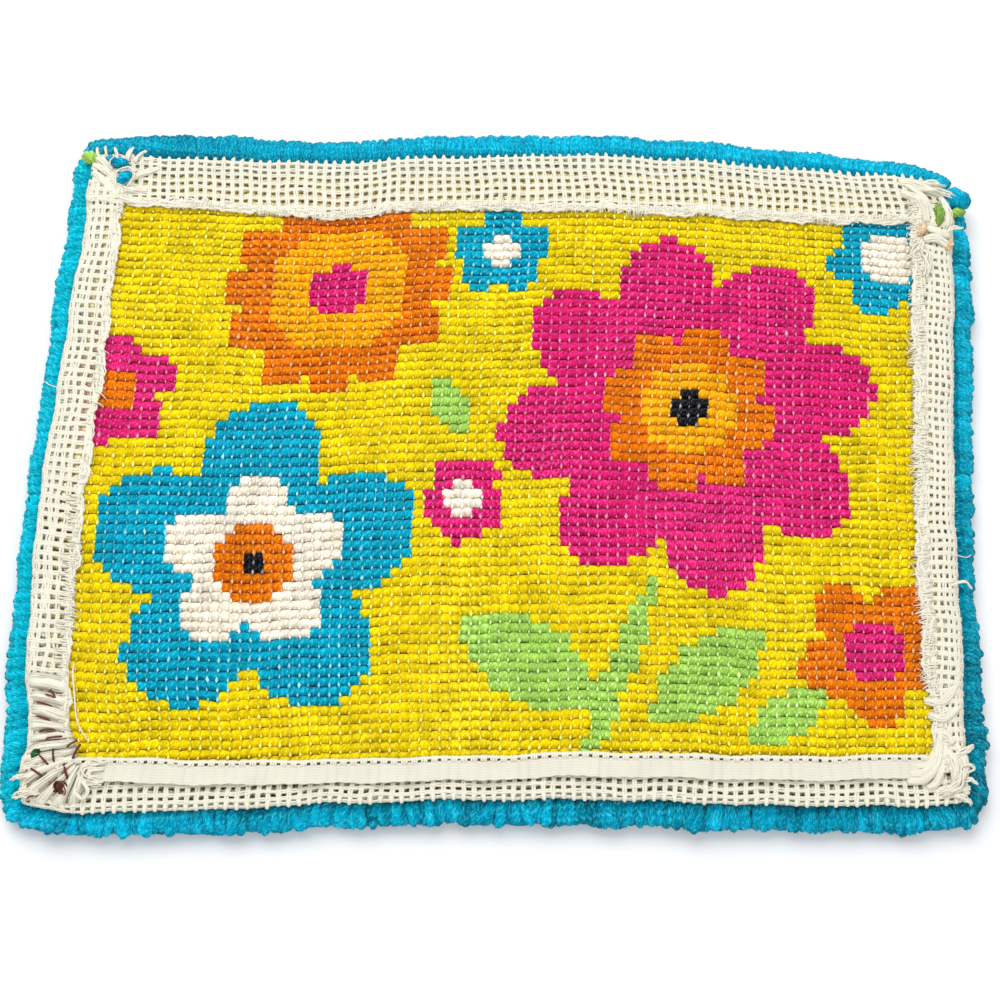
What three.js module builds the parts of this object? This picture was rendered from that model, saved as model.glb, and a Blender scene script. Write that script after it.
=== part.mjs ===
import * as THREE from 'three';

// A latch hook hanging laid out with its yarn pile down and the back of its canvas up.
// Millimetres, +Z up, the far edge at +Y. The origin is on the surface it lies on, under the middle of its outline.

const threadPitch = 6.7; // one mesh of the canvas, thread to thread
const canvasWidth = 94 * threadPitch; // between the folds at the left and the right
const canvasDepth = 71 * threadPitch; // between the folds at the near and the far edge
const canvasThickness = 1.5;
const pileDepth = 17; // cut pile pressed under the canvas
const knotHeight = 4; // back of a knot, over the canvas threads
const clearance = 0.3; // between neighbouring pieces
const borderTuck = 17; // border yarn under the canvas, in from the fold
const knotInset = 4.6; // outermost knot backs, in from the fold
const canvasCorner = 7; // radius of a folded corner
const pileCorner = 26; // radius of the pile round a corner
const foldSteps = 4; // flats round the half turn of a fold
const freeEdgeLift = 1.2; // the turned back edge of a hem stands this far off the hem under it

// Each edge from its left or near end. fold: how far the fold lies outside its straight line.
// pile: how far the yarn reaches past the fold. hem: width of the canvas turned over onto the back.
const edges = {
  far: [
    { at: 0.0, fold: -4, pile: 19, hem: 38 },
    { at: 0.11, fold: -5.5, pile: 27, hem: 39 },
    { at: 0.27, fold: -6, pile: 24, hem: 45.5 },
    { at: 0.42, fold: 1, pile: 25, hem: 42 },
    { at: 0.6, fold: 6, pile: 23.5, hem: 46 },
    { at: 0.7, fold: 5, pile: 23, hem: 45 },
    { at: 0.83, fold: 0.5, pile: 21.5, hem: 43 },
    { at: 0.95, fold: -3, pile: 18, hem: 39 },
    { at: 1.0, fold: -8, pile: 16, hem: 34 },
  ],
  near: [
    { at: 0.0, fold: 6, pile: 15, hem: 31 },
    { at: 0.06, fold: 10, pile: 14, hem: 34.5 },
    { at: 0.2, fold: 6, pile: 16, hem: 30.5 },
    { at: 0.33, fold: 0, pile: 16, hem: 27.5 },
    { at: 0.45, fold: -4, pile: 16, hem: 27 },
    { at: 0.6, fold: -6, pile: 17, hem: 29.5 },
    { at: 0.8, fold: -4.5, pile: 17, hem: 31 },
    { at: 0.93, fold: -6, pile: 18, hem: 32.5 },
    { at: 1.0, fold: -9, pile: 17, hem: 32 },
  ],
  left: [
    { at: 0.0, fold: 4, pile: 14, hem: 26 },
    { at: 0.09, fold: 0.5, pile: 19, hem: 26 },
    { at: 0.2, fold: 6.5, pile: 16, hem: 29 },
    { at: 0.4, fold: 8.5, pile: 12.5, hem: 30 },
    { at: 0.5, fold: 7, pile: 13, hem: 30 },
    { at: 0.62, fold: 3, pile: 13.5, hem: 29 },
    { at: 0.74, fold: 0, pile: 15.5, hem: 28 },
    { at: 0.9, fold: -6, pile: 16, hem: 25 },
    { at: 1.0, fold: -6, pile: 15, hem: 25 },
  ],
  right: [
    { at: 0.0, fold: -3, pile: 15, hem: 21 },
    { at: 0.12, fold: -4.5, pile: 18, hem: 21 },
    { at: 0.2, fold: -2, pile: 15.5, hem: 27 },
    { at: 0.4, fold: -1.5, pile: 15, hem: 28 },
    { at: 0.5, fold: 0, pile: 16.5, hem: 27 },
    { at: 0.62, fold: 2.5, pile: 16.5, hem: 28 },
    { at: 0.72, fold: 5.5, pile: 16.5, hem: 29 },
    { at: 0.83, fold: 8.5, pile: 16, hem: 30 },
    { at: 0.93, fold: 9.5, pile: 15, hem: 30 },
    { at: 1.0, fold: 5, pile: 15, hem: 30 },
  ],
};

// Width of each hem's own edge that lies turned back on top of it: the selvage tape at the near edge, and
// a narrow frayed lip where the canvas was cut.
const turnedBack = { far: 4, near: 16.3, left: 3.5, right: 5 };

// Low waves in the laid canvas: height in millimetres, full turns over its width and depth, start in turns.
const waves = [
  { height: 1.0, across: 1.5, along: 0.3, start: 0.1 },
  { height: 0.6, across: 0.4, along: 1.4, start: 0.55 },
];

// Section of the border yarn, from its inner lower corner round to its inner upper one. share: part of the pile's
// reach past the fold. past: millimetres beyond that. level: height over the surface.
const borderSection = [
  { share: 0, past: -borderTuck, level: 0 },
  { share: 0.62, past: 0, level: 0 },
  { share: 0.88, past: 0, level: 2.5 },
  { share: 1, past: 0, level: 8 },
  { share: 0.97, past: 0, level: 13 },
  { share: 0.8, past: 0, level: 17.5 },
  { share: 0.52, past: 0, level: 20.5 },
  { share: 0.2, past: 0, level: 20.5 },
  { share: 0, past: 0.6, level: 18.5 },
  { share: 0, past: 0.3, level: pileDepth },
  { share: 0, past: -borderTuck, level: pileDepth },
];

const groundLow = pileDepth + clearance;
const groundHigh = groundLow + canvasThickness;
const knotLow = groundHigh + clearance;
const knotHigh = knotLow + knotHeight;
const hemLow = knotHigh + clearance;
const hemHigh = hemLow + canvasThickness;
const turnedHigh = hemHigh + freeEdgeLift + canvasThickness;

// Grid lines from 0 to 1 along an edge: close together in the corners, then evenly spaced.
function gridLines(length, evenSteps) {
  const cornerLines = [0, 8, 17, pileCorner];
  const lines = cornerLines.map((distance) => distance / length);
  const first = pileCorner / length;
  for (let step = 1; step < evenSteps; step += 1) {
    lines.push(THREE.MathUtils.lerp(first, 1 - first, step / evenSteps));
  }
  return lines.concat(cornerLines.map((distance) => 1 - distance / length).reverse());
}

const linesAcross = gridLines(canvasWidth, 17);
const linesAlong = gridLines(canvasDepth, 12);
const stepsAcross = linesAcross.length - 1;
const stepsAlong = linesAlong.length - 1;
const stepsAround = 2 * (stepsAcross + stepsAlong);

// The sizes of a named edge at a place between 0 and 1, eased from each row of its table to the next.
function edgeAt(name, at) {
  const table = edges[name];
  const next = Math.max(1, table.findIndex((row) => row.at >= at));
  const [before, after] = [table[next - 1], table[next]];
  const eased = THREE.MathUtils.smoothstep(at, before.at, after.at);
  const blend = (column) => THREE.MathUtils.lerp(before[column], after[column], eased);
  return { fold: blend('fold'), pile: blend('pile'), hem: blend('hem'), turned: turnedBack[name] };
}

function lift(x, y) {
  return waves.reduce((sum, wave) => {
    const turns = wave.across * (x / canvasWidth) + wave.along * (y / canvasDepth) + wave.start;
    return sum + wave.height * Math.sin(2 * Math.PI * turns);
  }, 0);
}

// Draws a place in the unit square in towards a quarter circle where it lies in a corner square.
function roundCorner(a, b, radius) {
  const shareAcross = radius / canvasWidth;
  const shareAlong = radius / canvasDepth;
  const p = 1 - Math.min(a, 1 - a) / shareAcross;
  const q = 1 - Math.min(b, 1 - b) / shareAlong;
  if (p <= 0 || q <= 0) return [a, b];
  const pull = Math.max(p, q) / Math.hypot(p, q);
  const insetAcross = shareAcross * (1 - p * pull);
  const insetAlong = shareAlong * (1 - q * pull);
  return [a < 0.5 ? insetAcross : 1 - insetAcross, b < 0.5 ? insetAlong : 1 - insetAlong];
}

// A place on a layer of the cloth. a and b run from 0 to 1 across the layer's own outline, which lies in from the
// folds by layer.inset of the edge's row. Upper layers follow the waves, and what lies on the surface is flat.
function clothPoint(a, b, layer) {
  const far = edgeAt('far', a);
  const near = edgeAt('near', a);
  const left = edgeAt('left', b);
  const right = edgeAt('right', b);
  const [roundA, roundB] = roundCorner(a, b, layer.corner);
  const u = THREE.MathUtils.lerp(layer.inset(left), canvasWidth - layer.inset(right), roundA);
  const v = THREE.MathUtils.lerp(layer.inset(near), canvasDepth - layer.inset(far), roundB);
  const s = THREE.MathUtils.clamp(u / canvasWidth, 0, 1);
  const t = THREE.MathUtils.clamp(v / canvasDepth, 0, 1);
  const x = u - canvasWidth / 2 - left.fold * (1 - s) + right.fold * s;
  const y = v - canvasDepth / 2 - near.fold * (1 - t) + far.fold * t;
  const follow = Math.min(layer.level / pileDepth, 1);
  return [x, y, layer.level + follow * lift(x, y)];
}

// Steps round the outline, anticlockwise from the near left corner.
function outlineIndex(i, j) {
  if (j === 0) return i;
  if (i === stepsAcross) return stepsAcross + j;
  if (j === stepsAlong) return 2 * stepsAcross + stepsAlong - i;
  return stepsAround - j;
}

function onOutline(i, j) {
  return i === 0 || j === 0 || i === stepsAcross || j === stepsAlong;
}

// A closed body through a row of layers. Neighbouring layers are joined by a band round their outlines.
// A sheet or slab is covered by its first layer below and its last above. A ring joins its last layer to its first.
function layeredBody(layers, isRing) {
  const positions = [];
  const triangles = [];
  const quad = (p, q, r, s) => triangles.push(p, q, r, p, r, s);

  const outlines = layers.map((layer) => {
    const outline = new Array(stepsAround);
    linesAcross.forEach((a, i) => linesAlong.forEach((b, j) => {
      if (!onOutline(i, j)) return;
      outline[outlineIndex(i, j)] = positions.length / 3;
      positions.push(...clothPoint(a, b, layer));
    }));
    return outline;
  });

  const bands = isRing ? layers.length : layers.length - 1;
  for (let band = 0; band < bands; band += 1) {
    const lower = outlines[band];
    const upper = outlines[(band + 1) % layers.length];
    for (let step = 0; step < stepsAround; step += 1) {
      const next = (step + 1) % stepsAround;
      quad(lower[step], lower[next], upper[next], upper[step]);
    }
  }

  const cover = (layer, outline, facesUp) => {
    const index = linesAcross.map((a, i) => linesAlong.map((b, j) => {
      if (onOutline(i, j)) return outline[outlineIndex(i, j)];
      positions.push(...clothPoint(a, b, layer));
      return positions.length / 3 - 1;
    }));
    for (let i = 0; i < stepsAcross; i += 1) {
      for (let j = 0; j < stepsAlong; j += 1) {
        const corners = [index[i][j], index[i + 1][j], index[i + 1][j + 1], index[i][j + 1]];
        quad(...(facesUp ? corners : corners.reverse()));
      }
    }
  };
  if (!isRing) {
    cover(layers[0], outlines[0], false);
    cover(layers.at(-1), outlines.at(-1), true);
  }

  const geometry = new THREE.BufferGeometry();
  geometry.setAttribute('position', new THREE.Float32BufferAttribute(positions, 3));
  geometry.setIndex(triangles);
  geometry.computeVertexNormals();
  return geometry;
}

function layer(inset, level, corner) {
  return { inset: typeof inset === 'function' ? inset : () => inset, level, corner };
}

// The half turn of a fold, as layers from one level up to the other.
function foldLayers(radius, turnsUp) {
  const foldRadius = (hemHigh - groundLow) / 2;
  const middle = (hemHigh + groundLow) / 2;
  const layers = [];
  for (let step = 0; step <= foldSteps; step += 1) {
    const angle = Math.PI * (step / foldSteps - 0.5);
    layers.push(layer(foldRadius - radius * Math.cos(angle), middle + radius * Math.sin(angle), canvasCorner));
  }
  return turnsUp ? layers : layers.reverse();
}

// One sheet: the ground, the fold round each edge, the hem over the knots, and the hem's edge turned back on it.
function canvasGeometry() {
  const outerRadius = (hemHigh - groundLow) / 2;
  const hemEdge = (row) => row.hem;
  const insideTurn = (row) => row.hem - canvasThickness;
  const freeEdge = (row) => row.hem - row.turned;
  return layeredBody([
    ...foldLayers(outerRadius, true),
    layer(insideTurn, hemHigh, canvasCorner),
    layer(insideTurn, hemHigh + clearance, canvasCorner),
    layer(freeEdge, hemHigh + freeEdgeLift, canvasCorner),
    layer(freeEdge, turnedHigh, canvasCorner),
    layer(hemEdge, turnedHigh, canvasCorner),
    layer(hemEdge, hemLow, canvasCorner),
    ...foldLayers(outerRadius - canvasThickness, false),
  ], false);
}

function knotBacksGeometry() {
  return layeredBody([
    layer(knotInset, knotLow, canvasCorner),
    layer(knotInset, knotHigh, canvasCorner),
  ], false);
}

function pileFieldGeometry() {
  const inset = borderTuck + clearance;
  return layeredBody([
    layer(inset, 0, canvasCorner),
    layer(inset, pileDepth, canvasCorner),
  ], false);
}

function pileBorderGeometry() {
  return layeredBody(borderSection.map(({ share, past, level }) => {
    const inset = (row) => -share * row.pile - past;
    return layer(inset, level, THREE.MathUtils.lerp(canvasCorner, pileCorner, share));
  }), true);
}

function piece(name, geometry, color, roughness) {
  const material = new THREE.MeshStandardMaterial({ color, roughness, metalness: 0 });
  const mesh = new THREE.Mesh(geometry, material);
  mesh.name = name;
  return mesh;
}

const hanging = new THREE.Group();
hanging.add(piece('canvas', canvasGeometry(), '#f2ecdc', 0.9));
hanging.add(piece('knot_backs', knotBacksGeometry(), '#f0d90f', 0.95));
hanging.add(piece('pile_field', pileFieldGeometry(), '#f0d90f', 0.95));
hanging.add(piece('pile_border', pileBorderGeometry(), '#08a5d3', 0.95));

const middle = new THREE.Box3().setFromObject(hanging).getCenter(new THREE.Vector3());
hanging.position.set(-middle.x, -middle.y, 0);

export default hanging;
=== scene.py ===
import math

import bpy
import numpy as np
from mathutils import Matrix, Vector


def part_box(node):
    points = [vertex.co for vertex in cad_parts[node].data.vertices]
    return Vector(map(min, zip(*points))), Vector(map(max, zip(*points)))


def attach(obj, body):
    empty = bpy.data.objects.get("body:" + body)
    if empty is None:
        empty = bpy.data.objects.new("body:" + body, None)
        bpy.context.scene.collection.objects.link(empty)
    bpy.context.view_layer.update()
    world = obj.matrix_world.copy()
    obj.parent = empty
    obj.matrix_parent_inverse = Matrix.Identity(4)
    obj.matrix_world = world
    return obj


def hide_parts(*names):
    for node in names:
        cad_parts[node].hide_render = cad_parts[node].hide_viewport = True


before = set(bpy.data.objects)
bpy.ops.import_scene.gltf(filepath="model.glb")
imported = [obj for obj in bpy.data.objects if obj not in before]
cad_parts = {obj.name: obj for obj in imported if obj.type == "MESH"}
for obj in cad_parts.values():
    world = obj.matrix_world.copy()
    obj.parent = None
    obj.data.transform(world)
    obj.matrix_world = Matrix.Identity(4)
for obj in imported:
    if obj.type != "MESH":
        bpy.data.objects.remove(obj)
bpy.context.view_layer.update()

mm = 0.001


cloth = {
    "pitch": 6.7 * mm,  # one mesh of the canvas, thread to thread
    "across": 94,  # meshes between the left and right folds
    "along": 71,  # meshes between the near and far folds
    "pileDepth": 17 * mm,  # cut pile pressed under the canvas
    "groundLevel": 18.05 * mm,  # middle of the canvas under the knots
    "knotLow": 18.6 * mm,  # the feet of the knots
    "hemLevel": 24.6 * mm,  # middle of the hem over the knots
    "wander": 0.45 * mm,  # how far the threads stray from straight
    "corner": 9 * mm,  # radius of the folded corners
    "squeeze": 0.05,  # how much closer the rows lie at the near and far edges
    "lean": 0.03,  # and a little closer towards the far one
}
width = cloth["across"] * cloth["pitch"]
depth = cloth["along"] * cloth["pitch"]
pitch = cloth["pitch"]

# Along each edge from its left or near end, in mm. fold: how far the fold lies outside its straight line.
# pile: how far the yarn reaches past the fold. hem: width of the canvas turned over onto the back.
edges = {
    "far": {
        "at": [0, 0.11, 0.27, 0.42, 0.6, 0.7, 0.83, 0.95, 1],
        "fold": [-4, -5.5, -6, 1, 6, 5, 0.5, -3, -8],
        "pile": [20, 28, 25, 26.5, 25, 24.5, 23, 19, 17],
        "hem": [38, 39, 45.5, 42, 46, 45, 43, 39, 34],
    },
    "near": {
        "at": [0, 0.06, 0.2, 0.33, 0.45, 0.6, 0.8, 0.93, 1],
        "fold": [6, 10, 6, 0, -4, -6, -4.5, -6, -9],
        "pile": [15, 14, 16, 16, 16, 17, 17, 18, 17],
        "hem": [31, 34.5, 30.5, 27.5, 27, 29.5, 31, 32.5, 32],
    },
    "left": {
        "at": [0, 0.09, 0.2, 0.4, 0.5, 0.62, 0.74, 0.9, 0.965, 1],
        "fold": [4, 0.5, 6.5, 8.5, 7, 3, 0, -6, -6, -6],
        "pile": [14, 19, 16, 12.5, 13, 13.5, 15.5, 16, 15.5, 15],
        "hem": [26, 26, 29, 30, 30, 29, 28, 25, 25, 25],
    },
    "right": {
        "at": [0, 0.12, 0.2, 0.4, 0.5, 0.62, 0.72, 0.83, 0.93, 1],
        "fold": [-3, -4.5, -2, -1.5, 0, 2.5, 5.5, 8.5, 9.5, 5],
        "pile": [15, 18, 15.5, 15, 16.5, 16.5, 16.5, 16, 15, 10],
        "hem": [21, 21, 27, 28, 27, 28, 29, 30, 30, 30],
    },
}

# Low waves of the laid canvas: height in mm, full turns over its width and depth, start in turns.
waves = [
    {"height": 1.0, "across": 1.5, "along": 0.3, "start": 0.1},
    {"height": 0.6, "across": 0.4, "along": 1.4, "start": 0.55},
]


def edgeAt(name, column, at):
    # Between two rows of an edge's table the value eases from one to the other as 3t^2 - 2t^3.
    places = np.array(edges[name]["at"], float)
    values = np.array(edges[name][column], float) * mm
    at = np.clip(at, 0, 1)
    after = np.clip(np.searchsorted(places, at), 1, len(places) - 1)
    t = (at - places[after - 1]) / (places[after] - places[after - 1])
    return values[after - 1] + (values[after] - values[after - 1]) * t * t * (3 - 2 * t)


def lift(x, y):
    # The sum of the low waves: height * sin(2 pi (across x / width + along y / depth + start)).
    total = np.zeros_like(x)
    for wave in waves:
        turns = wave["across"] * x / width + wave["along"] * y / depth + wave["start"]
        total = total + wave["height"] * mm * np.sin(2 * np.pi * turns)
    return total


def clothMap(u, v, h, middle=None):
    # u and v are metres along the canvas from its near left corner, h the height over the surface it lies
    # on. x = u - width / 2 and y = v - depth / 2, each edge pushed out by its fold, which fades to the
    # opposite edge. The threads wander by slow sines, and z is h plus the low waves, fewer of them close to
    # the surface. A corner is rounded by drawing each square round it in to its circle: distance * max /
    # hypot.
    u, v, h = np.broadcast_arrays(np.asarray(u, float), v, h)
    r = cloth["corner"]
    du, dv = np.maximum(r - np.minimum(u, width - u), 0), np.maximum(r - np.minimum(v, depth - v), 0)
    drawn = 1 - np.maximum(du, dv) / np.maximum(np.hypot(du, dv), 1e-9)
    u = u + np.where(u < width / 2, 1, -1) * du * drawn
    v = v + np.where(v < depth / 2, 1, -1) * dv * drawn
    s = np.clip(u / width, 0, 1)
    t = np.clip(v / depth, 0, 1)
    x = u - width / 2 - edgeAt("left", "fold", t) * (1 - s) + edgeAt("right", "fold", t) * s
    y = v - depth / 2 - edgeAt("near", "fold", s) * (1 - t) + edgeAt("far", "fold", s) * t
    z = np.maximum(h + np.clip(h / cloth["pileDepth"], 0, 1) * lift(x, y), 0)
    stray = cloth["wander"]
    x = x + stray * (np.sin(97 * v + 23 * u + 1) + 0.6 * np.sin(211 * v - 61 * u))
    y = y + stray * (np.sin(88 * u - 31 * v + 2) + 0.6 * np.sin(173 * u + 47 * v + 4))
    centre = canvasMiddle if middle is None else middle
    return np.stack([x + centre[0], y + centre[1], z], -1)


def rowLine(row):
    # Where a row starts, as a share of the depth: t - squeeze sin(2 pi t) / 2 pi + lean t (1 - t).
    t = row / cloth["along"]
    squeezed = t - cloth["squeeze"] * np.sin(2 * np.pi * t) / (2 * np.pi) + cloth["lean"] * t * (1 - t)
    return squeezed * depth


def findMiddle():
    # The offset that lays the outline of the folds in the middle of the canvas's own box.
    s = np.linspace(0, 1, 400)
    zero = np.zeros_like(s)
    sides = [(s * width, zero), (s * width, zero + depth), (zero, s * depth), (zero + width, s * depth)]
    points = np.concatenate([clothMap(u, v, zero, (0, 0))[:, :2] for u, v in sides])
    low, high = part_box("canvas")
    boxMiddle = (np.array(low) + np.array(high))[:2] / 2
    return boxMiddle - (points.min(0) + points.max(0)) / 2


canvasMiddle = findMiddle()
print("canvas middle", canvasMiddle)


def runAlong(points):
    # Distance along each line of points, from its first.
    step = np.linalg.norm(np.diff(points, axis=-2), axis=-1)
    return np.concatenate([0 * step[..., :1], np.cumsum(step, -1)], -1)


def unit(vectors):
    # Each vector at length 1.
    return vectors / (np.linalg.norm(vectors, axis=-1, keepdims=True) + 1e-12)


def endMiddles(rings):
    # The middles of each body's first and last ring, as flat ends for its poles.
    return np.stack([rings[:, 0].mean(1), rings[:, -1].mean(1)], 1)


def fromEdges(x, y, wide, deep):
    # Distance in from the nearest edge: the least of x, wide - x, y and deep - y.
    return np.minimum(np.minimum(x, wide - x), np.minimum(y, deep - y))


def bodyPart(rings, poles, along, around, colour, fibreRound=False, roundEnds=True):
    # n closed bodies of m rings of k points, with a pole at each end: quads between neighbouring rings, and
    # a fan from each pole to the ring beside it. along (n, m) and around (n, k + 1) are metres of yarn.
    # Each body also has a cell of a second map to itself, x the share of its length and y the share of its
    # girth.
    n, m, k = rings.shape[:3]
    along = np.broadcast_to(along, (n, m))
    around = np.broadcast_to(around, (n, k + 1))
    verts = np.concatenate([rings.reshape(n, m * k, 3), poles], 1).reshape(-1, 3)
    first = np.arange(n)[:, None, None] * (m * k + 2)
    i, j = np.arange(m - 1)[None, :, None], np.arange(k)[None, None, :]
    after = (j + 1) % k
    quads = np.stack([first + i * k + j, first + i * k + after,
                      first + (i + 1) * k + after, first + (i + 1) * k + j], -1).reshape(-1, 4)
    pole, lastRing = first + m * k + 0 * j, first + (m - 1) * k
    tris = np.concatenate([np.stack([pole, first + after, first + j], -1),
                           np.stack([pole + 1, lastRing + j, lastRing + after], -1)], 1).reshape(-1, 3)

    def corners(x, y, xStart, xEnd):
        # The places of every quad's and triangle's corners, from places along (n, m) and around (n, k + 1).
        here, there = x[:, :-1, None] + 0 * y[:, None, :-1], x[:, 1:, None] + 0 * y[:, None, :-1]
        low, high = y[:, None, :-1] + 0 * here, y[:, None, 1:] + 0 * here
        quadAt = np.stack([here, low, here, high, there, high, there, low], -1).reshape(-1, 4, 2)
        low, high = y[:, :-1], y[:, 1:]
        middle, zero = (low + high) / 2, 0 * low
        start = np.stack([xStart + zero, middle, x[:, :1] + zero, high, x[:, :1] + zero, low], -1)
        end = np.stack([xEnd + zero, middle, x[:, -1:] + zero, low, x[:, -1:] + zero, high], -1)
        return quadAt, np.concatenate([start, end], 1).reshape(-1, 3, 2)

    quadYarn, triYarn = corners(along, around, along[:, :1], along[:, -1:])
    if fibreRound:
        quadYarn, triYarn = quadYarn[..., ::-1], triYarn[..., ::-1]
    share = 0.5 + 0 * along
    if m > 1:
        share = 0.1 + 0.8 * ((along - along[:, :1]) / np.maximum(along[:, -1:] - along[:, :1], 1e-9))
    none = 0 * share[:, :1]
    quadMap, triMap = corners(share, around / around[:, -1:], none, 1 + none)
    girth = float(around[:, -1].mean())
    band = [n, max(float(np.ptp(along, axis=1).mean()), girth / 3), girth]
    tint = np.broadcast_to(np.asarray(colour, float), (n, m * k + 2, 3)).reshape(-1, 3)
    return {"verts": verts, "quads": quads, "tris": tris, "quadYarn": quadYarn, "triYarn": triYarn,
            "quadMap": quadMap, "triMap": triMap, "quadCell": np.repeat(np.arange(n), (m - 1) * k),
            "triCell": np.repeat(np.arange(n), 2 * k), "quadBand": np.zeros(len(quads), int),
            "triBand": np.zeros(len(tris), int), "bands": np.array([band]), "colour": tint,
            "roundEnds": np.full(len(tris), roundEnds)}


def joinParts(parts):
    # Parts one after another, the indices of each moved up by what comes before it.
    joined = {key: np.concatenate([part[key] for part in parts]) for key in parts[0]}
    for keys, counted in ((("quads", "tris"), "verts"), (("quadBand", "triBand"), "bands")):
        starts = np.cumsum([0] + [len(part[counted]) for part in parts[:-1]])
        for key in keys:
            joined[key] = np.concatenate([part[key] + start for part, start in zip(parts, starts)])
    return joined


def mapPlaces(part, kind):
    # Bands of cells up the unit square, each with its share of the whole area: a body lies in its own cell
    # of its band, in rows and columns, so that nothing overlaps when the finish is baked.
    count, length, girth = part["bands"].T
    share = count * length * girth
    share = share / share.sum()
    start = np.cumsum(share) - share
    columns = np.maximum(1, np.round(np.sqrt(count * girth / (length * share))))
    rows = np.ceil(count / columns)
    band, cell, place = part[kind + "Band"], part[kind + "Cell"], 0.04 + 0.92 * part[kind + "Map"]
    x = (cell % columns[band])[:, None] + place[..., 0]
    y = (cell // columns[band])[:, None] + place[..., 1]
    high = (share / rows)[band][:, None]
    return np.stack([x / columns[band][:, None], start[band][:, None] + y * high], -1)


def frameAlong(paths, sideways):
    # Two directions square to each path: the sideways direction with its part along the path taken out, and
    # tangent x that.
    tangent = np.gradient(paths, axis=1) if paths.shape[1] > 1 else np.zeros_like(paths) + [0, 0, 1]
    tangent = unit(tangent)
    sideways = np.broadcast_to(np.asarray(sideways, float).reshape(-1, 1, 3), paths.shape)
    n1 = unit(sideways - (sideways * tangent).sum(-1, keepdims=True) * tangent)
    return tangent, n1, np.cross(tangent, n1)


def tubePart(paths, radius, sides, colour, sideways=(0, 0, 1), lobes=0.0, turns=0.0):
    # n paths of m points. Ring: centre + r (1 + lobes cos 3a) (cos(a + turn) n1 + sin(a + turn) n2).
    n, m = paths.shape[:2]
    radius = np.broadcast_to(radius, (n, m))
    tangent, n1, n2 = frameAlong(paths, sideways)
    angle = 2 * np.pi * np.arange(sides) / sides
    turn = 2 * np.pi * np.broadcast_to(turns, n)[:, None, None] * np.linspace(0, 1, m)[None, :, None]
    ring = radius[..., None] * (1 + lobes * np.cos(3 * angle))
    across = (ring * np.cos(angle + turn))[..., None] * n1[:, :, None]
    around = (ring * np.sin(angle + turn))[..., None] * n2[:, :, None]
    rings = paths[:, :, None] + across + around
    poles = np.stack([paths[:, 0] - tangent[:, 0] * radius[:, :1] * 0.5,
                      paths[:, -1] + tangent[:, -1] * radius[:, -1:] * 0.5], 1)
    girth = 2 * np.pi * radius.mean(1)[:, None] * np.arange(sides + 1) / sides
    tint = np.asarray(colour, float)
    return bodyPart(rings, poles, runAlong(paths), girth, tint.reshape(-1, 1, 3) if tint.ndim < 3 else tint)


def slabPart(lower, upper, colour):
    # A closed slab between two grids of points: each ring runs along a row of the lower grid and back along
    # the same row of the upper one.
    rings = np.concatenate([lower, upper[:, ::-1]], 1)[None]
    closed = np.concatenate([rings[0, 0], rings[0, 0, :1]])
    return bodyPart(rings, endMiddles(rings), runAlong(lower[:, 0])[None], runAlong(closed)[None], colour)


def addObject(name, data):
    # An object at the origin for a mesh, a lamp or the camera.
    added = bpy.data.objects.new(name, data)
    bpy.context.scene.collection.objects.link(added)
    return added


def makePiece(name, part, node):
    # One mesh of the joined bodies, with a colour for each vertex (dye with painted shade and light) and two
    # maps: metres of yarn, and cells for baking. Its material is that of the node that it replaces.
    material, slotName = finishes[node]
    mesh = bpy.data.meshes.new(name)
    quads, tris = part["quads"], part["tris"]
    loops = np.concatenate([quads.ravel(), tris.ravel()]).astype(np.int32)
    starts = np.concatenate([np.arange(len(quads)) * 4, len(quads) * 4 + np.arange(len(tris)) * 3])
    verts = part["verts"].astype(np.float32)
    verts[:, 2] = np.maximum(verts[:, 2], 0)  # nothing reaches below the surface that the pile lies on
    mesh.vertices.add(len(verts))
    mesh.vertices.foreach_set("co", verts.ravel())
    mesh.loops.add(len(loops))
    mesh.loops.foreach_set("vertex_index", loops)
    mesh.polygons.add(len(starts))
    mesh.polygons.foreach_set("loop_start", starts.astype(np.int32))
    mesh.polygons.foreach_set("use_smooth", np.concatenate([np.ones(len(quads), bool), part["roundEnds"]]))
    mesh.update(calc_edges=True)
    places = {"yarn": (part["quadYarn"], part["triYarn"]),
              "OFBake": (mapPlaces(part, "quad"), mapPlaces(part, "tri"))}
    for mapName, (quadAt, triAt) in places.items():
        loopUv = np.concatenate([quadAt.reshape(-1, 2), triAt.reshape(-1, 2)])
        mesh.uv_layers.new(name=mapName).uv.foreach_set("vector", loopUv.astype(np.float32).ravel())
    mesh.uv_layers.active = mesh.uv_layers["yarn"]
    mesh.uv_layers["yarn"].active_render = True
    # the vertex colour: the dyes, with the painted shade and light that the parts put on them
    tint = mesh.color_attributes.new(name="dye", type="FLOAT_COLOR", domain="POINT")
    rgba = np.concatenate([part["colour"], np.ones((len(part["colour"]), 1))], 1)
    tint.data.foreach_set("color", rgba.astype(np.float32).ravel())
    mesh.materials.append(material)
    piece = addObject(name, mesh)
    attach(piece, "root")
    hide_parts(node)
    print(name, "triangles", 2 * len(quads) + len(tris))
    return piece


def linear(code):
    # sRGB hex to linear: c / 12.92 up to 0.04045, and ((c + 0.055) / 1.055) ^ 2.4 above.
    c = np.array([int(code[i:i + 2], 16) for i in (1, 3, 5)]) / 255
    return np.where(c <= 0.04045, c / 12.92, ((c + 0.055) / 1.055) ** 2.4)


dyes = {
    "yellow": "#f0d807",
    "magenta": "#e02e80",
    "turquoise": "#00acc8",
    "orange": "#e88304",
    "amber": "#fab608",
    "leaf": "#aed868",
    "cream": "#fbf1e0",
    "ink": "#1c1c24",
    "border": "#00accf",
    "canvas": "#ebe7d6",
    "tan": "#f0cda6",
    "lint": "#ece4c6",
    "brown": "#6c352b",
    "bottle": "#2f6a35",
}
dye = {name: linear(code) for name, code in dyes.items()}


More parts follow.
